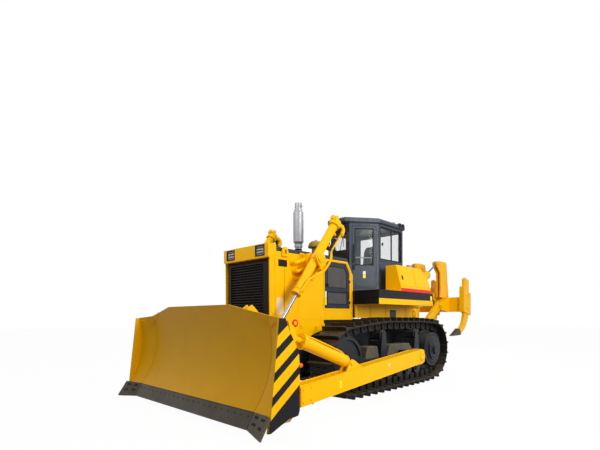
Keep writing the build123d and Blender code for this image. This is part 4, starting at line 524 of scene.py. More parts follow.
def belt():
    """Pin places on the shoe seat, anticlockwise seen from the right."""
    runs = []
    for (x0, z0, r0), (x1, z1, r1) in closed(WRAPS):
        gap = hypot(x1 - x0, z1 - z0)
        ux, uz = (x1 - x0) / gap, (z1 - z0) / gap
        lean = (r0 - r1) / gap
        side = sqrt(1 - lean * lean)
        nx, nz = ux * lean + uz * side, uz * lean - ux * side
        runs.append(((x0 + r0 * nx, z0 + r0 * nz), (x1 + r1 * nx, z1 + r1 * nz), atan2(nz, nx)))
    pieces = []
    for ((start, end, angle), (_, _, next_angle)), (x, z, r) in zip(closed(runs), WRAPS[1:] + WRAPS[:1]):
        straight = hypot(end[0] - start[0], end[1] - start[1])
        pieces.append((straight, lambda s, a=start, b=end, n=straight:
                       Vector((a[0] + (b[0] - a[0]) * s / n, 0, a[1] + (b[1] - a[1]) * s / n))))
        pieces.append(((next_angle - angle) % (2 * pi) * r, lambda s, x=x, z=z, r=r, a=angle:
                       Vector((x + r * cos(a + s / r), 0, z + r * sin(a + s / r)))))
    total = sum(length for length, _ in pieces)
    shoes = round(total / SHOE_PITCH)
    places = []
    for k in range(shoes):
        s = total * (k + 0.5) / shoes
        for length, place in pieces:
            if s <= length:
                places.append(place(s))
                break
            s -= length
    return places


def tracks():
    """Each shoe with its lug and four bolts, and the paired links with their pins beneath."""
    half = SHOE_WIDTH / 2
    for name, side in SIDES:
        shoes = Piece("track_shoes_" + name, "track", 0)
        chain = Piece("track_chain_" + name, "chain", 0)
        for start, end in closed(belt()):
            run = (end - start).normalized()
            out = Vector((run.z, 0, -run.x))
            pitch = (end - start).length
            lug = 0.68 * pitch

            def at(s, n, y):
                return start + run * s + out * n + Vector((0, side * TRACK_Y + y, 0))

            def shoe(y, tall, edge=0.0):
                """A cross-section: the lip under the next shoe, the plate and its lug."""
                return [at(s, n, y) for s, n in (
                    (0.02 * pitch + edge, 0), (0.88 * pitch, 0), (0.93 * pitch, -0.012), (1.15 * pitch, -0.012),
                    (1.15 * pitch, -0.003), (1.01 * pitch, 0.002), (1.02 * pitch, 0.018), (lug + 0.027, 0.018),
                    (lug + 0.017, 0.032), (lug + 0.009, tall), (lug - 0.009, tall), (lug - 0.017, 0.032),
                    (lug - 0.027, 0.018), (0.02 * pitch + edge, 0.018))]

            shoes.loft([shoe(-half, 0.086, 0.012), shoe(0.025 - half, 0.098), shoe(half - 0.025, 0.098),
                        shoe(half, 0.086, 0.012)])
            for y in (-0.115, -0.055, 0.055, 0.115):
                shoes.bolt(at(0.3 * pitch, 0.018, y), out, 0.014, washer=False)
            for sign in (1, -1):
                for s0, s1, near, far in ((-0.03, 0.125, 0.05, 0.082), (0.1, pitch + 0.03, 0.078, 0.112)):
                    link_outline = [(s0, -0.045), (s0 + 0.02, -0.006), (s1 - 0.02, -0.006), (s1, -0.045),
                                    (s1, -0.105), (s1 - 0.03, -0.144), (s0 + 0.03, -0.144), (s0, -0.105)]
                    chain.loft([[at(s, n, sign * y) for s, n in link_outline] for y in (near, far)])
            chain.rod(at(0, -0.075, -0.124), at(0, -0.075, 0.124), 0.026, 12)
        shoes.done("tracks")
        chain.done()


# ---- running gear ----
HUB = (-1.478, 0.724)         # final drive's middle, x and z
HUB_Y = 1.114                 # the sprocket's outer face
FRAME_Y = TRACK_Y + 0.165     # track frame's outer face


def running_gear():
    hubs = Piece("hub_details", "under", 0.002)
    for depth, radius, count, size in ((0.15, 0.33, 20, 0.016), (0.215, 0.2, 14, 0.014), (0.265, 0.08, 6, 0.012)):
        hubs.bolt_circle((HUB[0], HUB_Y + depth, HUB[1]), OUT, radius, count, size)
    hubs.turned([(0, 0.3), (0.018, 0.296), (0.024, 0.262)], (HUB[0], HUB_Y + 0.148, HUB[1]), OUT, 48)
    for x0, x1 in ((-0.9, -0.62), (-0.52, 0.52), (0.62, 1.05)):
        hubs.panel(rectangle(x0, x1, 0.517, 0.653), flank(FRAME_Y), 0, 0.008)
        for x in (x0 + 0.05, (x0 + x1) / 2, x1 - 0.05):
            hubs.bolts(FRAME_Y + 0.008, ((x, 0.54), (x, 0.63)), 0.013)
    hubs.both_sides().done()
    covers = Piece("recoil_covers", "dusty", 0.022, segments=4)
    for foot0, top0, top1, foot1 in ((0.622, 0.692, 1.018, 1.093), (-0.768, -0.518, 0.248, 0.338)):
        covers.panel([(foot0, 0.668), (top0, 0.907), (top1, 0.907), (foot1, 0.668)], flank(TRACK_Y), -0.137, 0.137)
    covers.both_sides().done()


# ---- radiator guard ----
GUARD_Y = 0.626
GUARD_X = 2.944
CAP_X = 2.974
CAP_TOP = 2.694
LAMP_AT = (0.415, 2.588)      # y and z
TOW_RING = (2.371, GUARD_Y, 1.37)


def front_details():
    y, z = LAMP_AT
    bezels = Piece("lamp_bezels", "black", 0.002, slot="grille_black")
    bezels.ring(rectangle(y - 0.124, y + 0.124, z - 0.092, z + 0.092), 0.022, on_front(CAP_X), -0.012, 0.005)
    for rise in (-0.045, 0.0, 0.045):
        bezels.box(CAP_X - 0.018, CAP_X + 0.001, y - 0.112, y + 0.112, z + rise - 0.006, z + rise + 0.006)
    bezels.both_sides().done()

    bars = Piece("grille_bars", "grille", 0)
    for k in range(17):
        y = -0.44 + 0.055 * k
        bars.box(GUARD_X - 0.05, GUARD_X - 0.04, y - 0.004, y + 0.004, 1.5, 2.38)
    bars.done()

    where = flank(GUARD_Y)
    trim = Piece("guard_trim", "yellow", 0.002)
    trim.panels(where, (rectangle(2.33, 2.6, 1.48, 2.42), 0, 0.003), (rectangle(2.64, 2.905, 1.48, 2.3), 0, 0.003))
    trim.bolts(GUARD_Y + 0.003, ((2.38, 2.36), (2.38, 1.54), (2.86, 1.54), (2.86, 2.24)), 0.009)
    trim.bolts(GUARD_Y, [(x, 1.325) for x in (1.663, 1.833, 2.221, 2.42, 2.86)], 0.013)
    # the lifting eye, the tow ring's boss and three tabs
    trim.ring([(2.545, 2.5), (2.56, 2.615), (2.598, 2.662), (2.64, 2.662), (2.672, 2.615), (2.69, 2.5)], 0.038,
              where, 0.001, 0.04)
    trim.cap(TOW_RING, OUT, 28, 0.036, 0.017, (0.019, 0.03))
    for x, z in ((2.214, 1.32), (1.821, 1.3), (1.646, 1.327)):
        trim.panel([(x - 0.04, z - 0.045), (x + 0.04, z - 0.045), (x + 0.04, z + 0.02), (x, z + 0.045),
                    (x - 0.04, z + 0.02)], where, 0, 0.014)
        trim.bolts(GUARD_Y + 0.014, [(x, z - 0.005)], 0.016)
    trim.both_sides()
    for k in range(-2, 3):
        trim.bolt((2.9, k * 0.2, CAP_TOP), UP, 0.011)
    trim.done()

    red = Piece("guard_ring", "red", 0.001)
    red.cap(TOW_RING, OUT, 32, 0.068, 0.01, (0.012, 0.064))
    red.both_sides().done()
    plates = Piece("guard_plates", "black", 0.0008, slot="grille_black")
    plates.panels(where, (rectangle(2.556, 2.751, 2.33, 2.446), 0, 0.006),
                  (rectangle(2.617, 2.621, 1.48, 2.32), 0, 0.0035), (rectangle(2.825, 2.829, 1.34, 2.44), 0, 0.0038),
                  ([(2.002, 2.12), (1.998, 2.124), (1.576, 1.616), (1.58, 1.611)], 0.003, 0.006)).both_sides().done()
    # a painted reflection: a pale plate laid where the guard's side shows a glare
    pale = Piece("guard_painted_glare_plate", "pale", 0.0008)
    pale.panels(where, (rectangle(2.65, 2.79, 1.52, 1.8), 0.002, 0.0045)).both_sides().done()


# ---- hood ----
MESHES = (rectangle(0.922, 1.52, 1.72, 1.96),
          [(0.922, 2.04), (1.52, 2.04), (1.52, 2.412), (1.477, 2.455), (1.0, 2.455), (0.922, 2.338)])
WIRE_PITCH = 0.016
WIRE_HALF = 0.0016
# a border round the door opening, as wide as the wall up to the hood's slope
RIM = [(0.752, 1.6), (1.64, 1.6), (1.64, 2.462), (1.528, 2.574), (0.919, 2.574), (0.752, 2.323)]
HOOD_TOP = 2.655
CLEANER = (1.255, 0.085)      # x and y
STACK_X = 1.668
CLEANER_PROFILE = [           # height and radius, from the hood to the cap's button
    (2.652, 0.086), (2.74, 0.086), (2.744, 0.096), (2.764, 0.096), (2.768, 0.086), (2.872, 0.086), (2.88, 0.124),
    (2.886, 0.16), (2.918, 0.165), (2.926, 0.15), (2.96, 0.146), (2.994, 0.122), (3.016, 0.084), (3.024, 0.042),
    (3.026, 0.022), (3.04, 0.02), (3.046, 0.012)]


def clipped(outline, x):
    """Heights between which an upright line at x runs inside a convex outline."""
    hits = [az + (bz - az) * (x - ax) / (bx - ax) for (ax, az), (bx, bz) in closed(outline)
            if (ax - x) * (bx - x) < 0]
    return min(hits), max(hits)


def wires(outline):
    """Where even wires across an outline run: place, low end and high end."""
    first, last = min(p[0] for p in outline), max(p[0] for p in outline)
    count = round((last - first) / WIRE_PITCH)
    places = [first + (k + 0.5) * (last - first) / count for k in range(count)]
    return [(x, *clipped(outline, x)) for x in places]


def engine_door(name, side):
    body = "engine_door_" + name
    where = flank(HOOD_HALF)
    mesh = Piece("door_mesh_" + name, "mesh", 0, body, side=side)
    seals = Piece("door_seals_" + name, "rubber", 0.001, body, side=side)
    for outline in MESHES:
        seals.ring(outline, 0.014, where, -0.012, 0.002)
        inner = inset(outline, 0.014)
        for x, low, high in wires(inner):
            mesh.box(x - WIRE_HALF, x + WIRE_HALF, HOOD_HALF - 0.012, HOOD_HALF - 0.0085, low, high)
        for z, low, high in wires([(b, a) for a, b in inner]):
            mesh.box(low, high, HOOD_HALF - 0.0085, HOOD_HALF - 0.005, z - WIRE_HALF, z + WIRE_HALF)
    mesh.done()
    seals.done()
    fittings = Piece("door_fittings_" + name, "black", 0.002, body, side=side)
    fittings.box(1.5, 1.56, HOOD_HALF, HOOD_HALF + 0.014, 2.05, 2.12)
    fittings.cap((1.53, HOOD_HALF + 0.012, 2.085), OUT, 16, 0.016, 0.012, (0.015, 0.012))
    fittings.bolts(HOOD_HALF, ((0.88, 1.68), (1.56, 1.68), (1.56, 2.4), (0.98, 2.49)), 0.009)
    fittings.done()
    tags("door_tag_", name, side, body, where, 0.0018, (("white", rectangle(1.545, 1.585, 1.84, 1.965)),
                                                        ("tag", rectangle(1.545, 1.585, 1.705, 1.835))))


def tags(label, name, side, body, where, high, plates):
    """Blank plates, thin as foil, each a piece of its own."""
    for look, outline in plates:
        Piece(label + look + "_" + name, look, 0.0005, body, side=side).panels(where, (outline, 0, high)).done()


def hood_details():
    for name, side in SIDES:
        engine_door(name, side)
    where = flank(HOOD_HALF)
    rims = Piece("hood_rims", "yellow")
    rims.ring(RIM, 0.034, where, 0, 0.009)
    rims.panels(where, (rectangle(0.748, 1.59, 1.424, 1.59), 0, 0.003), (rectangle(1.66, 2.285, 1.44, 2.54), 0, 0.0025))
    rims.bolts(HOOD_HALF + 0.003, ((0.79, 1.46), (1.55, 1.46), (0.79, 1.55), (1.55, 1.55), (1.7, 1.48), (2.24, 1.48),
                                   (1.7, 2.5)), 0.01)
    rims.both_sides().done()

    strip = Piece("hood_edge_seal", "rubber", 0)
    for y in (-0.606, 0.606):
        foot, head = (0.742, y, 2.334), (0.908, y, 2.584)
        strip.tube([(0.738, y, 2.06), (0.738, y, 2.3), foot], 0.009, 8, 3)
        strip.tube([foot, head], 0.009, 8, 1)
        strip.tube([head, (2.78, y, 2.584)], 0.009, 8, 1)
    strip.done()

    top = Piece("hood_top_fittings", "cover")
    for x in (1.12, 1.95, 2.6):
        for y in (-0.55, 0.55):
            top.bolt((x, y, HOOD_TOP), UP, 0.011)
    top.box(2.02, 2.62, -0.4, 0.4, 2.653, 2.664)
    for y in (-0.22, 0.22):
        top.box(1.3, 2.55, y - 0.012, y + 0.012, 2.653, 2.668)
    top.cap((2.4, -0.3, HOOD_TOP), UP, 24, 0.06, 0.03, (0.04, 0.05))
    top.done()

    clamps = Piece("stack_fittings", "stack", 0.002)
    clamps.cap((STACK_X, 0, 3.64), UP, 32, 0.072, 0.026)
    clamps.box(1.655, 1.681, 0.066, 0.1, 3.634, 3.672)
    clamps.rod((1.64, 0.086, 3.653), (1.696, 0.086, 3.653), 0.008, 10)
    clamps.done()
    band = Piece("stack_band", "black", 0.001)
    band.cap((STACK_X, 0, 2.785), UP, 32, 0.07, 0.034)
    band.done()
    bowl = Piece("cleaner_fittings", "brass", 0.002)
    bowl.turned(CLEANER_PROFILE, (*CLEANER, 0), UP, 48)
    bowl.done("precleaner")
    under = Piece("cleaner_brim", "rubber", 0)
    under.turned([(0, 0.1), (0.008, 0.156)], (*CLEANER, 2.8765), UP, 48)
    under.done()


# ---- lift cylinders ----
# the thin pipe: down to a clamp, out round the yoke's ear, and along the tube's outer side to its foot
THIN_PIPE = [(-0.82, 0.238, 0.0), (-0.62, 0.234, 0.0), (-0.4, 0.214, 0.01), (-0.3, 0.186, 0.07),
             (-0.215, 0.15, 0.145), (-0.12, 0.17, 0.172), (0.02, 0.173, 0.174), (0.161, 0.153, 0.172),
             (0.31, 0.083, 0.15), (0.455, 0.02, 0.122), (0.52, -0.003, 0.112), (0.66, -0.011, 0.108),
             (0.745, -0.014, 0.1), (0.775, -0.014, 0.076)]
THICK_PIPE = [(-0.88, 0.07), (-0.86, 0.14), (-0.78, 0.162), (-0.56, 0.16), (-0.38, 0.15), (-0.33, 0.076)]
ELBOW = [(-0.915, 0.06), (-0.938, 0.11), (-0.958, 0.17), (-0.946, 0.222), (-0.89, 0.246), (-0.8, 0.24)]


def lift_head(name, side):
    body = "lift_tube_" + name
    at = across((YOKE[0], side * YOKE[1], YOKE[2]), (LIFT_EYE[0], side * LIFT_EYE[1], LIFT_EYE[2]))
    down = at(1, 0) - at(0, 0)
    head = Piece("lift_head_" + name, "yellow", 0.003, body)
    head.cap(at(-0.862, 0), -down, 40, 0.1, 0.02, (0.03, 0.09), (0.034, 0.07))
    head.bolt_circle(at(-0.893, 0), -down, 0.08, 6, 0.013)
    head.bolt_circle(at(-0.8, 0), down, 0.094, 8, 0.011)
    # the valve block on the head, with a cap above it, a plug at its end and an elbow over its side
    head.loft([[at(a, p, y) for p, y in ((-0.088, -w), (0.07, -w), (0.084, 0.014 - w), (0.084, w - 0.014), (0.07, w),
                                         (-0.088, w))] for a, w in ((-0.89, 0.062), (-0.95, 0.062), (-0.972, 0.046))])
    head.cap(at(-0.922, -0.08), at(0, -1) - at(0, 0), 24, 0.05, 0.046, (0.056, 0.04))
    head.cap(at(-0.965, -0.03), -down, 24, 0.044, 0.034, (0.036, 0.034), (0.058, 0.034), (0.064, 0.024))
    head.tube([at(a, p) for a, p in ELBOW], 0.044, 16, 5)
    head.cap(at(-0.85, 0.243), down, 24, 0.056, 0.03)
    head.cap(at(-0.905, 0.085), at(-0.3, 1) - at(0, 0), 24, 0.054, 0.026)
    head.cap(at(0.69, 0), down, 40, 0.088, 0.022)
    head.cap(at(0.772, 0), down, 40, 0.09, 0.03)
    head.bolt_circle(at(0.803, 0), down, 0.066, 6, 0.01)
    head.tube([at(a, p, side * y) for a, p, y in THIN_PIPE], 0.021)
    for a in (-0.7, -0.42):
        head.loft([[at(a + da, p, dy) for dy, p in ((-0.02, 0.06), (0.02, 0.06), (0.02, 0.236), (-0.02, 0.236))]
                   for da in (-0.016, 0.016)])
    head.done()
    dark = Piece("lift_pipe_" + name, "rubber", 0, body)
    dark.tube([at(a, p, 0.02) for a, p in THICK_PIPE], 0.03, 14, 5)
    dark.done()
    clip = Piece("lift_clip_" + name, "chrome", 0.001, body)
    clip.cap(at(-0.4, 0.215, side * 0.01), down, 20, 0.034, 0.044)
    clip.cap(at(-0.64, 0.161, 0.02), down, 20, 0.036, 0.026)
    clip.done()


def lift_yoke(name, side):
    axis = (0, side, 0)
    x0, outer, z0 = YOKE[0], side * (YOKE[1] + 0.13), YOKE[2]
    bracket = Piece("yoke_details_" + name, "yellow")
    bracket.cap((x0, outer, z0), axis, 32, 0.086, 0.016, (0.024, 0.074))
    bracket.bolt_circle((x0, outer + side * 0.022, z0), axis, 0.056, 5, 0.011)
    bracket.panel([(x0 - 0.19, z0 - 0.36), (x0 + 0.15, z0 - 0.25), (x0 + 0.15, z0 + 0.11), (x0 - 0.19, z0 + 0.11)],
                  lambda x, z, d: Vector((x, side * (HOOD_HALF + d), z)), 0, 0.022)
    for x, z in ((-0.165, -0.31), (-0.165, -0.12), (-0.165, 0.07), (0.13, -0.21), (0.13, -0.05), (0.13, 0.085)):
        bracket.bolt((x0 + x, side * (HOOD_HALF + 0.022), z0 + z), axis, 0.016)
    # hydraulic steel pipes from the guard's side into the bracket's ports
    for z, rise, reach in ((-0.02, 0.05, 0.34), (-0.16, 0.02, 0.3), (-0.28, 0.0, 0.26)):
        start, turn = (Vector((x0 + reach, side * (GUARD_Y + d), z0 + z - 0.07)) for d in (-0.01, 0.085))
        end = Vector((x0 + 0.06, side * (GUARD_Y + 0.105), z0 + z + rise * 0.5))
        bracket.tube([start, start.lerp(turn, 0.6), turn + Vector((-0.02, side * 0.012, 0.004)), turn.lerp(end, 0.5),
                      end], 0.03, 14, 5)
        bracket.cap(start + Vector((0, side * 0.012, 0)), axis, 20, 0.042, 0.024)
        bracket.cap(turn.lerp(end, 0.45), end - turn, 20, 0.04, 0.03)
    bracket.done()

    eye = Piece("lift_eye_cap_" + name, "yellow", 0.002, "blade")
    eye.pin_caps((LIFT_EYE[0], side * LIFT_EYE[1], LIFT_EYE[2]), 0.078, 28, 0.062, 0.018, (0.024, 0.054))
    for s in (-1, 1):
        eye.bolt_circle((LIFT_EYE[0], side * LIFT_EYE[1] + s * 0.098, LIFT_EYE[2]), (0, s, 0), 0.036, 3, 0.01)
    eye.done()


# ---- blade ----
WING_Y = 1.65
FACE = ((3.926, 1.655), (3.782, 0.94), (4.076, 0.282))     # moldboard's face: top, deepest point and foot
PLATE = [(3.994, 1.462), (3.892, 1.462), (3.812, 1.282), (3.716, 1.132), (3.664, 1.018), (3.652, 0.862),
         (3.652, 0.294), (3.678, 0.228), (3.842, 0.21), (3.98, 0.156), (4.126, 0.094), (4.17, 0.094), (4.129, 0.284)]
STRIPE_LEAN = 0.775           # how much a stripe falls for its run forward
STRIPES = ((4.363, 9.0), (4.105, 4.221), (3.852, 3.959), (3.588, 3.695), (0.0, 3.451))   # low, high edge at x = 0
BOX_MOVES = (                 # corners of the blade's lower box, x and z, and where its ends draw them in to
    ((3.6, 0.41), (3.668, 0.44)), ((3.6, 0.15), (3.668, 0.32)), ((3.64, 0.108), (3.7, 0.285)),
    ((4.01, 0.108), (4.01, 0.215)))
CREASE = ((1.37, 1.56), (1.42, 1.508), (1.54, 1.43), (1.66, 1.366), (1.715, 1.345), (1.78, 1.362), (1.875, 1.412),
          (1.96, 1.43))       # y and z of the line where a wing turns forward
EDGE_TOP = Vector((4.064, 0, 0.282))                       # cutting edge's front face
EDGE_FOOT = Vector((4.187, 0, 0.074))


def cut(outline, level, keep_above):
    """The part of an outline on one side of a slanted line."""
    def height(p):
        return (p[1] + STRIPE_LEAN * p[0] - level) * (1 if keep_above else -1)
    kept = []
    for p, q in closed(outline):
        hp, hq = height(p), height(q)
        if hp >= 0:
            kept.append(p)
        if hp * hq < 0:
            t = hp / (hp - hq)
            kept.append((p[0] + (q[0] - p[0]) * t, p[1] + (q[1] - p[1]) * t))
    return kept


def face_x(z):
    """X of the moldboard's front face in its middle length."""
    (ax, az), (bx, bz), (cx, cz) = FACE
    d = 2 * (ax * (bz - cz) + bx * (cz - az) + cx * (az - bz))
    aa, bb, cc = ax * ax + az * az, bx * bx + bz * bz, cx * cx + cz * cz
    x = (aa * (bz - cz) + bb * (cz - az) + cc * (az - bz)) / d
    y = (aa * (cx - bx) + bb * (ax - cx) + cc * (bx - ax)) / d
    return x - sqrt((ax - x) ** 2 + (az - y) ** 2 - (z - y) ** 2)


def wing_x(y, z):
    """X of the moldboard's front face, with its wings swept forward to the side plates."""
    (top_x, top_z), (foot_x, foot_z) = PLATE[0], PLATE[-1]
    plate_x = top_x + (top_z - z) * (foot_x - top_x) / (top_z - foot_z)
    share = max(0.0, (abs(y) - WING_Y) / (BLADE_HALF - WING_Y))
    return face_x(z) * (1 - share) + plate_x * share


def tapered_back():
    """The blade's back, its lower box drawn in at both ends behind the side plates' toes."""
    back = Piece("blade_back_tapered", "yellow", 0, "blade")
    back.bm.from_mesh(nodes["blade_back"].data)
    back.bm.transform(nodes["blade_back"].matrix_world)
    for side in (1, -1):
        bmesh.ops.bisect_plane(back.bm, geom=back.all(), dist=1e-5, plane_co=(0, side * 1.86, 0), plane_no=(0, side, 0))
    for vert in back.bm.verts:
        for old, new in BOX_MOVES:
            if abs(vert.co.y) > 2.0 and hypot(vert.co.x - old[0], vert.co.z - old[1]) < 0.006:
                vert.co.x, vert.co.z = new
    back.done("blade_back")


def end_bit_holes(out):
    """Square bolt holes in the end bits, and the seam between them and the cutting edge."""
    holes = Piece("end_bit_holes", "rubber", 0.0006, "blade", "edge_steel")
    low, high = EDGE_FOOT + Vector((0, 1.648, 0)), EDGE_TOP + Vector((0, 1.648, 0))
    wide = Vector((0, 0.004, 0))
    holes.loft([[low + out * d + wide, high + out * d + wide, high + out * d - wide, low + out * d - wide]
                for d in (-0.003, 0.0015)])
    foot, head, top, tip = (Vector(p) for p in
                            ((4.187, 1.65, 0.074), (4.064, 1.65, 0.282), (4.1675, 2.065, 0.29), (4.325, 2.065, 0.048)))
    for u in (0.22, 0.34, 0.66, 0.78):
        for v in (0.4, 0.78):
            if v > u:         # on the upper of the two triangles between the corners
                place = foot + ((head - foot) * (v - u) + (top - foot) * u)
                rise = (head - foot).normalized()
                facing = (head - foot).cross(top - foot)
            else:
                place = foot + ((tip - foot) * (u - v) + (top - foot) * v)
                rise = (top - tip).normalized()
                facing = (top - foot).cross(tip - foot)
            facing = facing.normalized() * (1 if facing.x > 0 else -1)
            level = facing.cross(rise)
            holes.panel(rectangle(-0.019, 0.019, -0.017, 0.017),
                        lambda a, b, d: place + level * a + rise * b + facing * d, -0.004, 0.005)
    holes.both_sides().done()


def blade_details():
    tapered_back()
    stripes = Piece("warning_stripes", "black", 0, "blade", "grille_black")
    stripes.panels(flank(BLADE_HALF), *((cut(cut(PLATE, low, True), high, False), -0.0005, 0.0012)
                                        for low, high in STRIPES)).both_sides().done()

    # the welds share the moldboard's darker yellow, which is painted shade
    welds = Piece("moldboard_welds", "blade", 0, "blade", "yellow")
    for side in (1, -1):
        welds.tube([(face_x(z) + 0.001, side * WING_Y, z) for z in (0.29 + 1.21 * k / 12 for k in range(13))],
                   0.007, 8, 2)
        welds.tube([(wing_x(0, 1.651), 0, 1.651), (wing_x(0, 1.651), side * 0.868, 1.651)], 0.005, 8, 1)
        welds.tube([(wing_x(y, z) + 0.002, side * y, z) for y, z in CREASE], 0.007, 8, 5)
    welds.done()

    run = (EDGE_FOOT - EDGE_TOP).normalized()
    out = Vector((-run.z, 0, run.x))
    bolts = Piece("edge_bolts", "bolt", 0.0006, "blade")
    for k in range(22):
        bolts.cap(EDGE_TOP + Vector((0, -1.575 + 3.15 * k / 21, 0)) + run * 0.075, out, 12, 0.013, 0.003,
                  (0.005, 0.01))
    bolts.done()
    end_bit_holes(out)
    for name, side in SIDES:
        knob = Piece("edge_marker_" + name, "orange", 0.002, "blade", side=side)
        knob.turned([(0, 0.026), (0.02, 0.03), (0.045, 0.03), (0.06, 0.02)], (3.654, 2.032, 0.858), (-1, 0, 0), 20)
        knob.done()

    arms = Piece("arm_details", "yellow", 0.003, "blade")
    arms.panel([(3.05, 0.245), (3.292, 0.222), (3.292, 0.49), (3.05, 0.512)], flank(ARM_Y), -0.002, 0.022)
    arms.bolts(ARM_Y + 0.022, ((3.09, 0.29), (3.25, 0.27), (3.09, 0.47), (3.25, 0.45)), 0.013)
    arms.cap((PIVOT[0], ARM_Y, PIVOT[1]), OUT, 40, 0.092, 0.012, (0.02, 0.08))
    arms.bolt_circle((PIVOT[0], ARM_Y + 0.018, PIVOT[1]), OUT, 0.06, 6, 0.012)
    arms.pin_caps(TILT_FOOT, 0.075, 24, 0.04, 0.014, (0.018, 0.034))
    arms.pin_caps(TILT_HEAD, 0.081, 24, 0.04, 0.014, (0.018, 0.034))
    arms.both_sides()
    for side in (1, -1):
        arms.bolt((3.004, side * 1.66, 0.222), (0, 0, -1), 0.016)
        for y in (1.492, 1.688):
            arms.tube([(-0.02, side * y, 0.8), (1.6, side * y, 0.657), (3.296, side * y, 0.508)], 0.006, 6, 2)
    # the tilt cylinder's flange, head bolts, upright pin and pipe
    at = across(TILT_FOOT, TILT_HEAD)
    down = at(1, 0) - at(0, 0)
    arms.cap(at(0.11, 0), down, 40, 0.102, 0.02)
    arms.bolt_circle(at(1.185, 0), down, 0.08, 8, 0.012)
    arms.rod((3.56, 1.59, 1.3), (3.56, 1.59, 1.42), 0.018, 14)
    arms.cap((3.56, 1.59, 1.4), UP, 16, 0.026, 0.02)
    arms.tube([at(1.12, -0.1), at(0.9, -0.118), at(0.3, -0.118), at(0.15, -0.092)], 0.013, 10, 5)
    arms.done()

    for label, x, z, tall, look in (("a_", 2.404, 0.423, 0.055, "tag"), ("b_", 1.031, 0.6, 0.03, "pale")):
        for name, side in SIDES:
            tag = Piece("arm_tag_" + label + name, look, 0.0004, "blade", side=side)
            tag.panels(flank(ARM_Y), (rectangle(x - 0.025, x + 0.025, z - tall, z + tall), 0, 0.0015)).done()


# ---- cab ----
CAB_X = (-1.13, -0.13, 0.385)          # rear, side corner, front
CAB_Y = (0.672, 0.265)                 # side, front
ROOF_Z = (3.54, 3.635)
FLOOR_Z = 2.08
WALL_RUN = Vector((CAB_X[1] - CAB_X[2], CAB_Y[0] - CAB_Y[1], 0)).normalized()
WALL_OUT = Vector((CAB_Y[0] - CAB_Y[1], CAB_X[2] - CAB_X[1], 0)).normalized()


def on_door(s, z, d):
    """A place (along the slanted wall, height, depth) on the left door."""
    return Vector((CAB_X[2], CAB_Y[1], z)) + WALL_RUN * s + WALL_OUT * d


def cab_walls():
    seals = Piece("window_seals", "rubber", 0.002)
    frames = Piece("cab_frames", "slate", 0.004)
    pane = rectangle(-1.058, -0.18, 2.745, 3.47)
    where = flank(CAB_Y[0])
    seals.ring(pane, 0.024, where, -0.03, 0.005)
    for x, z in ((-0.27, 3.087), (-1.0, 3.067)):               # window latches
        seals.panel(rectangle(x - 0.02, x + 0.02, z - 0.03, z + 0.03), where, -0.004, 0.016)
    seals.both_sides()
    seals.ring(rectangle(-0.203, 0.203, 2.93, 3.325), 0.02, on_front(CAB_X[2]), -0.026, 0.005)
    for low, high in ((2.11, 2.926), (3.329, 3.47)):           # black front panels
        seals.panel(rectangle(-0.25, 0.25, low, high), on_front(CAB_X[2]), -0.001, 0.006)
    seals.ring(rectangle(-0.59, 0.59, 2.745, 3.47), 0.024, lambda y, z, d: Vector((CAB_X[0] - d, y, z)), -0.026, 0.005)
    seals.done()

    frames.panel(rectangle(-0.666, -0.65, 2.765, 3.45), where, -0.03, 0.001)
    frames.ring(inset(pane, -0.034), 0.03, where, -0.002, 0.01)
    frames.panel(rectangle(-1.12, -0.15, 2.09, 2.64), where, -0.001, 0.008)
    for x in (-1.09, -0.18):
        frames.bolts(CAB_Y[0] + 0.008, ((x, 2.14), (x, 2.59)), 0.009)
    frames.both_sides()
    # roof: a lip below it, a raised middle and a gutter line
    half = [(CAB_X[0] - 0.028, CAB_Y[0] + 0.026), (CAB_X[1], CAB_Y[0] + 0.026), (0.5, 0.222)]
    plan = half + [(x, -y) for x, y in reversed(half)]
    frames.panel(plan, on_top(ROOF_Z[0]), -0.02, 0.001)
    frames.panel(inset(plan, 0.12), on_top(ROOF_Z[1]), -0.001, 0.012)
    rim = Piece("roof_rim", "black", 0.002)
    rim.ring(inset(plan, -0.004), 0.01, on_top(ROOF_Z[0]), -0.016, 0.022)
    rim.done()
    frames.done()


def cab_door(name, side):
    body = "cab_door_" + name
    seal = Piece("cab_door_seal_" + name, "rubber", 0.002, body, side=side)
    seal.ring(rectangle(0.114, 0.543, 2.6, 3.408), 0.018, on_door, -0.024, 0.004)
    seal.done()
    trim = Piece("cab_door_trim_" + name, "slate", 0.004, body, side=side)
    trim.ring(rectangle(0.063, 0.594, 2.112, 3.459), 0.022, on_door, 0, 0.006)
    trim.panel(rectangle(0.13, 0.53, 2.15, 2.23), on_door, 0, 0.01)
    trim.done()
    right = Vector((1, side, 1))       # tubes are laid where they go, so these pieces aren't mirrored
    fittings = Piece("cab_door_fittings_" + name, "black", 0.003, body)
    fittings.tube([on_door(0.085, z, d) * right for z, d in (
        (2.66, 0.004), (2.68, 0.045), (2.84, 0.05), (3.02, 0.045), (3.04, 0.004))], 0.011, 12, 5)
    fittings.panel(rectangle(0.072, 0.12, 2.5, 2.62), lambda s, z, d: on_door(s, z, d) * right, 0, 0.016)
    fittings.done()
    rail = Piece("cab_door_rail_" + name, "stack", 0, body)
    rail.tube([on_door(s, 2.78, d) * right for s, d in (
        (0.104, -0.05), (0.125, -0.072), (0.33, -0.076), (0.533, -0.072), (0.553, -0.05))], 0.013, 12, 5)
    rail.done()
    tags("cab_door_tag_", name, side, body, on_door, 0.0015, (("white", rectangle(0.3, 0.362, 2.405, 2.475)),
                                                              ("tag", rectangle(0.3, 0.362, 2.325, 2.4))))


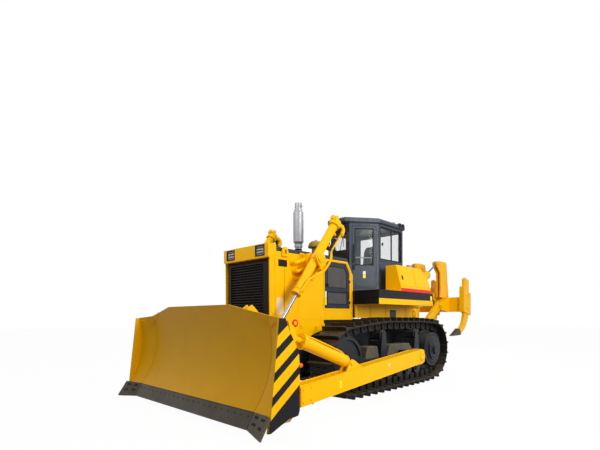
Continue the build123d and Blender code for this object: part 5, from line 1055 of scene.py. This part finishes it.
def cab_fittings():
    lamps = Piece("cab_lamps", "black", 0.002)
    lens = Piece("cab_lamp_lenses", "lens", 0.001)
    back = (-1, 0, 0)
    lamps.turned([(0, 0.066), (0.026, 0.068), (0.04, 0.06)], (-1.268, 0.48, 3.6375), back, 32)
    lens.turned([(0, 0.054), (0.008, 0.05), (0.012, 0.03)], (-1.304, 0.48, 3.6375), back, 32)
    lamps.rod((0.395, 0.25, 2.62), (0.43, 0.262, 2.66), 0.008, 10)
    # a pair of rear lamps in one housing at each upper corner
    for x in (-0.95, -1.085):
        lamps.turned([(0, 0.024), (0.02, 0.05), (0.07, 0.056), (0.084, 0.05)], (x, 0.64, 3.61), OUT, 28)
        lens.turned([(0, 0.034), (0.005, 0.03)], (x, 0.695, 3.61), (0, -1, 0), 28)
    lamps.box(-1.13, -0.9, 0.6, 0.65, 3.56, 3.64)
    lamps.both_sides()
    # mirror stays, and a handle beside the windscreen
    for side in (1, -1):
        for places, radius in ((((0.388, 0.235, 2.7), (0.44, 0.245, 2.76), (0.455, 0.25, 3.05), (0.44, 0.245, 3.36),
                                 (0.388, 0.235, 3.4)), 0.012),
                               (((0.392, 0.238, 2.7), (0.45, 0.262, 2.74), (0.452, 0.266, 2.9), (0.45, 0.262, 3.06),
                                 (0.392, 0.238, 3.09)), 0.014)):
            lamps.tube([(x, side * y, z) for x, y, z in places], radius, 10, 5)
    # beacon, and the wiper over the windscreen
    lamps.turned([(0, 0.014), (0.05, 0.014), (0.054, 0.034), (0.06, 0.036), (0.078, 0.03), (0.082, 0.016)],
                 (-1.0, 0.5, 3.64), UP, 20)
    lamps.tube([(0.392, 0.0, 2.905), (0.405, 0.02, 2.96), (0.4, 0.1, 3.25)], 0.007, 8, 4)
    lamps.box(0.389, 0.396, 0.095, 0.107, 3.02, 3.31)
    lamps.done()
    lens.both_sides().done()

    inside = Piece("cab_controls", "plastic")
    for y, z in ((0.4, 2.8), (-0.4, 2.8), (0.33, 2.78)):
        inside.rod((-0.3, y, 2.66), (-0.26, y, z + 0.07), 0.011, 12)
        inside.turned([(0, 0.018), (0.03, 0.026), (0.07, 0.024), (0.085, 0.012)], (-0.262, y, z + 0.06),
                      (0.1, 0, 1), 16)
    inside.box(0.15, 0.25, -0.16, 0.16, 2.86, 2.935)
    for y in (-0.1, 0.1):
        inside.box(-0.02, 0.1, y - 0.045, y + 0.045, 2.085, 2.115)
    inside.done()


def pillow(half_y, half_d, squeeze, place):
    """Rings of a pad whose edges roll in towards its ends; place maps (share of its length, y, depth) to a point."""
    rings = []
    for i in range(13):
        t = i / 12
        edge = 1 - squeeze * abs(2 * t - 1) ** 6
        around = [(cos(2 * pi * j / 24), sin(2 * pi * j / 24)) for j in range(24)]
        rings.append([place(t, half_y * edge * (abs(c) ** 0.5) * (1 if c >= 0 else -1),
                            half_d * edge * (abs(s) ** 0.6) * (1 if s >= 0 else -1)) for c, s in around])
    return rings


def cushions():
    """A crowned seat cushion with a dip in its middle, and a backrest that leans back."""
    low = FLOOR_Z + 0.38

    def seat_place(t, y, d):
        dip = 0.016 * (1 - (y / 0.26) ** 2) * sin(pi * t) if d > 0 else 0.0
        return Vector((-0.83 + 0.52 * t, y, low + 0.07 + d - dip))

    seat = Piece("seat_cushions", "cloth", 0, smooth=180.0)
    seat.loft(pillow(0.26, 0.072, 0.22, seat_place))
    seat.loft(pillow(0.238, 0.052, 0.25, lambda t, y, d: Vector((-0.775 - 0.09 * t + d, y, low + 0.14 + 0.58 * t))))
    seat.done("seat")
    base = Piece("seat_base", "plastic", 0.004)
    base.box(-0.76, -0.38, -0.18, 0.18, FLOOR_Z, low)
    base.done("seat")


# ---- deck and tanks ----
DECK_Y = 1.285
DECK_Z = (1.73, 2.012)        # foot and head of its front band
TANK_FOOT = Vector((0, 1.232, 2.09))                       # the tank's slanted side
TANK_HEAD = Vector((0, 1.104, 2.582))
TANK_OUT = Vector((0, 0.492, 0.128)).normalized()
SKIRT_Y = 0.7


def on_tank(x, share, d):
    """A place (x, share of the slanted side from its foot, depth) on the tank's side."""
    return Vector((x, 0, 0)) + TANK_FOOT.lerp(TANK_HEAD, share) + TANK_OUT * d


def deck():
    where = flank(DECK_Y)
    dark = Piece("deck_bands", "black", 0.002, slot="hull_black")
    dark.panel(rectangle(0.646, DECK_Y + 0.002, *DECK_Z), on_front(0.757), -0.001, 0.006)
    dark.panels(where, *((rectangle(x - 0.002, x + 0.002, 1.842, 2.012), 0, 0.0058) for x in (-1.05, -0.35, 0.3)))
    dark.both_sides().done()
    band = Piece("deck_side_bands", "black", 0.002, slot="hull_black")
    band.panels(where, (rectangle(-1.448, 0.758, 1.842, 2.012), 0, 0.005)).both_sides().done()
    grips = Piece("deck_grips", "rubber", 0, slot="rubber_pads")
    for row in range(5):
        for k in range(9):
            x, y = 0.68 - row * 0.075, 0.76 + k * 0.058
            grips.box(x - 0.022, x + 0.022, y - 0.008, y + 0.008, 2.008, 2.013)
    grips.both_sides().done()
    tag = Piece("deck_tags", "tag", 0.0005)
    tag.panels(where, (rectangle(-1.4, -1.32, 1.85, 1.95), 0.004, 0.0065)).both_sides().done()


def tanks():
    tank = Piece("tank_details", "yellow")
    tank.panels(on_tank, (rectangle(-0.19, -0.765, 0.1, 0.9), 0, 0.007),
                ([(-0.795, 0.1), (-0.795, 0.9), (-1.225, 0.9), (-1.4, 0.4), (-1.4, 0.1)], 0, 0.007))
    for x, share in ((-0.23, 0.16), (-0.23, 0.84), (-0.72, 0.16), (-0.72, 0.84), (-0.84, 0.16), (-0.84, 0.84),
                     (-1.34, 0.16)):
        tank.bolt(on_tank(x, share, 0.007), TANK_OUT, 0.008)
    tank.both_sides().done()
    red = Piece("tank_stripes", "red", 0.0006)
    red.panel(rectangle(-1.446, -0.144, 2.016, 2.088), flank(1.232), 0, 0.0025)
    red.cap((-1.13, 0.977, 2.582), UP, 20, 0.024, 0.04, (0.046, 0.016))
    red.both_sides().done()
    steel = Piece("tank_caps", "stack", 0.002)
    steel.cap((-0.9, 0.977, 2.582), UP, 32, 0.05, 0.03, (0.036, 0.062), (0.066, 0.062), (0.074, 0.052))
    steel.both_sides().done()
    latches = Piece("tank_latches", "black", 0.002)
    latches.panels(on_tank, (rectangle(-0.245, -0.285, 0.36, 0.54), 0.006, 0.02)).both_sides().done()


def reflectors():
    marks = Piece("deck_reflectors", "orange", 0.001)
    for x in (-0.96, -1.1, -1.24, -1.38):
        marks.cap((x, DECK_Y, 1.752), OUT, 16, 0.014, 0.004, (0.006, 0.01))
    marks.both_sides().done()


def skirts():
    where = flank(SKIRT_Y)
    plates = Piece("skirt_details", "yellow", 0.002)
    for x0, x1 in ((-1.443, -1.207), (-1.195, -0.368), (-0.356, 0.226), (0.238, 0.74)):
        plates.panel(inset(rectangle(x0, x1, 1.458, 1.728), 0.03), where, 0, 0.003)
        for x in (x0 + 0.06, x1 - 0.06):
            plates.bolts(SKIRT_Y + 0.003, ((x, 1.5), (x, 1.69)), 0.01)
    for x0, x1 in ((-2.05, -1.77), (-1.758, -1.458)):          # the hull's side
        plates.panel(rectangle(x0, x1, 1.18, 1.722), flank(0.56), 0, 0.012)
        for x in (x0 + 0.04, x1 - 0.04):
            plates.bolts(0.572, ((x, 1.22), (x, 1.68)), 0.012)
    plates.both_sides()
    for side in (1, -1):
        plates.tube([(-1.776, side * y, z) for y, z in ((0.572, 1.46), (0.64, 1.48), (0.645, 1.6), (0.572, 1.63))],
                    0.018, 10, 4)
    plates.done()
    pale = Piece("skirt_plates", "cover", 0.0006)
    pale.panels(where, (rectangle(-0.782, -0.526, 1.47, 1.636), 0.003, 0.008)).both_sides().done()
    seams = Piece("skirt_seams", "rubber", 0)
    seams.panels(where, *((rectangle(x - 0.005, x + 0.005, 1.43, 1.726), -0.01, 0.0008)
                          for x in (-1.201, -0.362, 0.232))).both_sides().done()


# ---- ripper and rear ----
ARM_PIN_Y = 0.47
LINK_Y = 0.34
HOIST_Y = 0.15
SHANK_Y = (-0.955, 0.0, 0.955)
PIN_CAPS = (                  # piece, body, pins with their y, radius and half the width of a lug pair
    ("rear_pins", "tractor", ((UP_BASE, LINK_Y), (HOIST_BASE, HOIST_Y)), 0.052, 0.071),
    ("rear_arm_pins", "tractor", ((ARM_PIN, ARM_PIN_Y),), 0.056, 0.089),
    ("beam_pins", "ripper_beam", ((UP_PIN, LINK_Y), (HOIST_EYE, HOIST_Y)), 0.052, 0.071),
    ("beam_arm_pins", "ripper_beam", ((LOW_PIN, ARM_PIN_Y),), 0.06, 0.089),
)
COLLARS = (                   # piece, body, base, far end, y, the gland's distance along the tube and tube radius
    ("link_collars", "ripper_links", UP_BASE, UP_PIN, LINK_Y, 0.76, 0.118),
    ("hoist_collars", "ripper_hoist_tubes", HOIST_BASE, HOIST_EYE, HOIST_Y, 0.98, 0.092),
)


def ripper_details():
    for name, body, places, radius, half in PIN_CAPS:
        caps = Piece(name, "yellow", 0.002, body)
        for (x, z), y in places:
            for lug_y in (y, -y):
                caps.pin_caps((x, lug_y, z), half, 28, radius, 0.016, (0.021, radius * 0.86))
                for s in (-1, 1):
                    caps.bolt_circle((x, lug_y + s * (half + 0.018), z), (0, s, 0), radius * 0.55, 3, 0.009)
        caps.done()
    for name, body, start, end, tube_y, far, radius in COLLARS:
        collars = Piece(name, "yellow", 0.002, body)
        for y in (tube_y, -tube_y):
            at = across((start[0], y, start[1]), (end[0], y, end[1]))
            run = at(1, 0) - at(0, 0)
            collars.cap(at(far - 0.045, 0), run, 40, radius + 0.008, 0.03)
            collars.bolt_circle(at(far, 0), run, radius - 0.018, 8, 0.01)
            collars.cap(at(0.13, 0), run, 40, radius + 0.006, 0.024)
            collars.tube([at(a, p - radius) for a, p in ((0.15, 0.01), (0.165, -0.028), (0.24, -0.034), (
                far - 0.14, -0.034), (far - 0.08, -0.026), (far - 0.07, 0.01))], 0.014, 10, 5)
        collars.done()

    shanks = Piece("shank_details", "yellow", 0.003, "ripper_beam")
    teeth = Piece("tooth_pins", "tooth", 0.001, "ripper_beam")
    for y in SHANK_Y:
        for z in (1.74, 2.1):
            shanks.pin_caps((-4.1, y, z), 0.066, 24, 0.042, 0.014, (0.018, 0.036))
        for s in (-1, 1):
            for z in (1.68, 1.98, 2.28):
                shanks.bolt((-3.9, y + s * 0.066, z), (0, s, 0), 0.012)
        teeth.pin_caps((-3.585, y, 1.06), 0.051, 16, 0.02, 0.01, (0.013, 0.014))
    for k in range(7):
        y = -0.84 + 0.28 * k
        if min(abs(abs(y) - taken) for taken in (0.955, LINK_Y, HOIST_Y, 0.0)) > 0.09:
            shanks.bolt((-3.879, y, 1.83), (1, 0, 0), 0.014)
    shanks.done()
    teeth.done()

    rear = Piece("rear_details", "yellow")
    rear.panel([(-1.985, 1.78), (-1.48, 1.78), (-1.48, 2.44), (-1.76, 2.44), (-1.985, 2.2)], flank(SKIRT_Y), 0, 0.004)
    rear.bolts(SKIRT_Y + 0.004, ((-1.94, 1.83), (-1.53, 1.83), (-1.53, 2.39), (-1.75, 2.39), (-1.94, 2.17)), 0.01)
    rear.both_sides()
    for y in (-0.45, 0.0, 0.45):
        rear.bolt((-1.45, y, 2.5), UP, 0.012)
    rear.box(-1.7, -1.2, -0.48, 0.48, 2.499, 2.512)
    rear.done()


tracks()
running_gear()
front_details()
hood_details()
for side_name, side_sign in SIDES:
    lift_head(side_name, side_sign)
    lift_yoke(side_name, side_sign)
blade_details()
cab_walls()
for side_name, side_sign in SIDES:
    cab_door(side_name, side_sign)
cab_fittings()
cushions()
deck()
tanks()
reflectors()
skirts()
ripper_details()
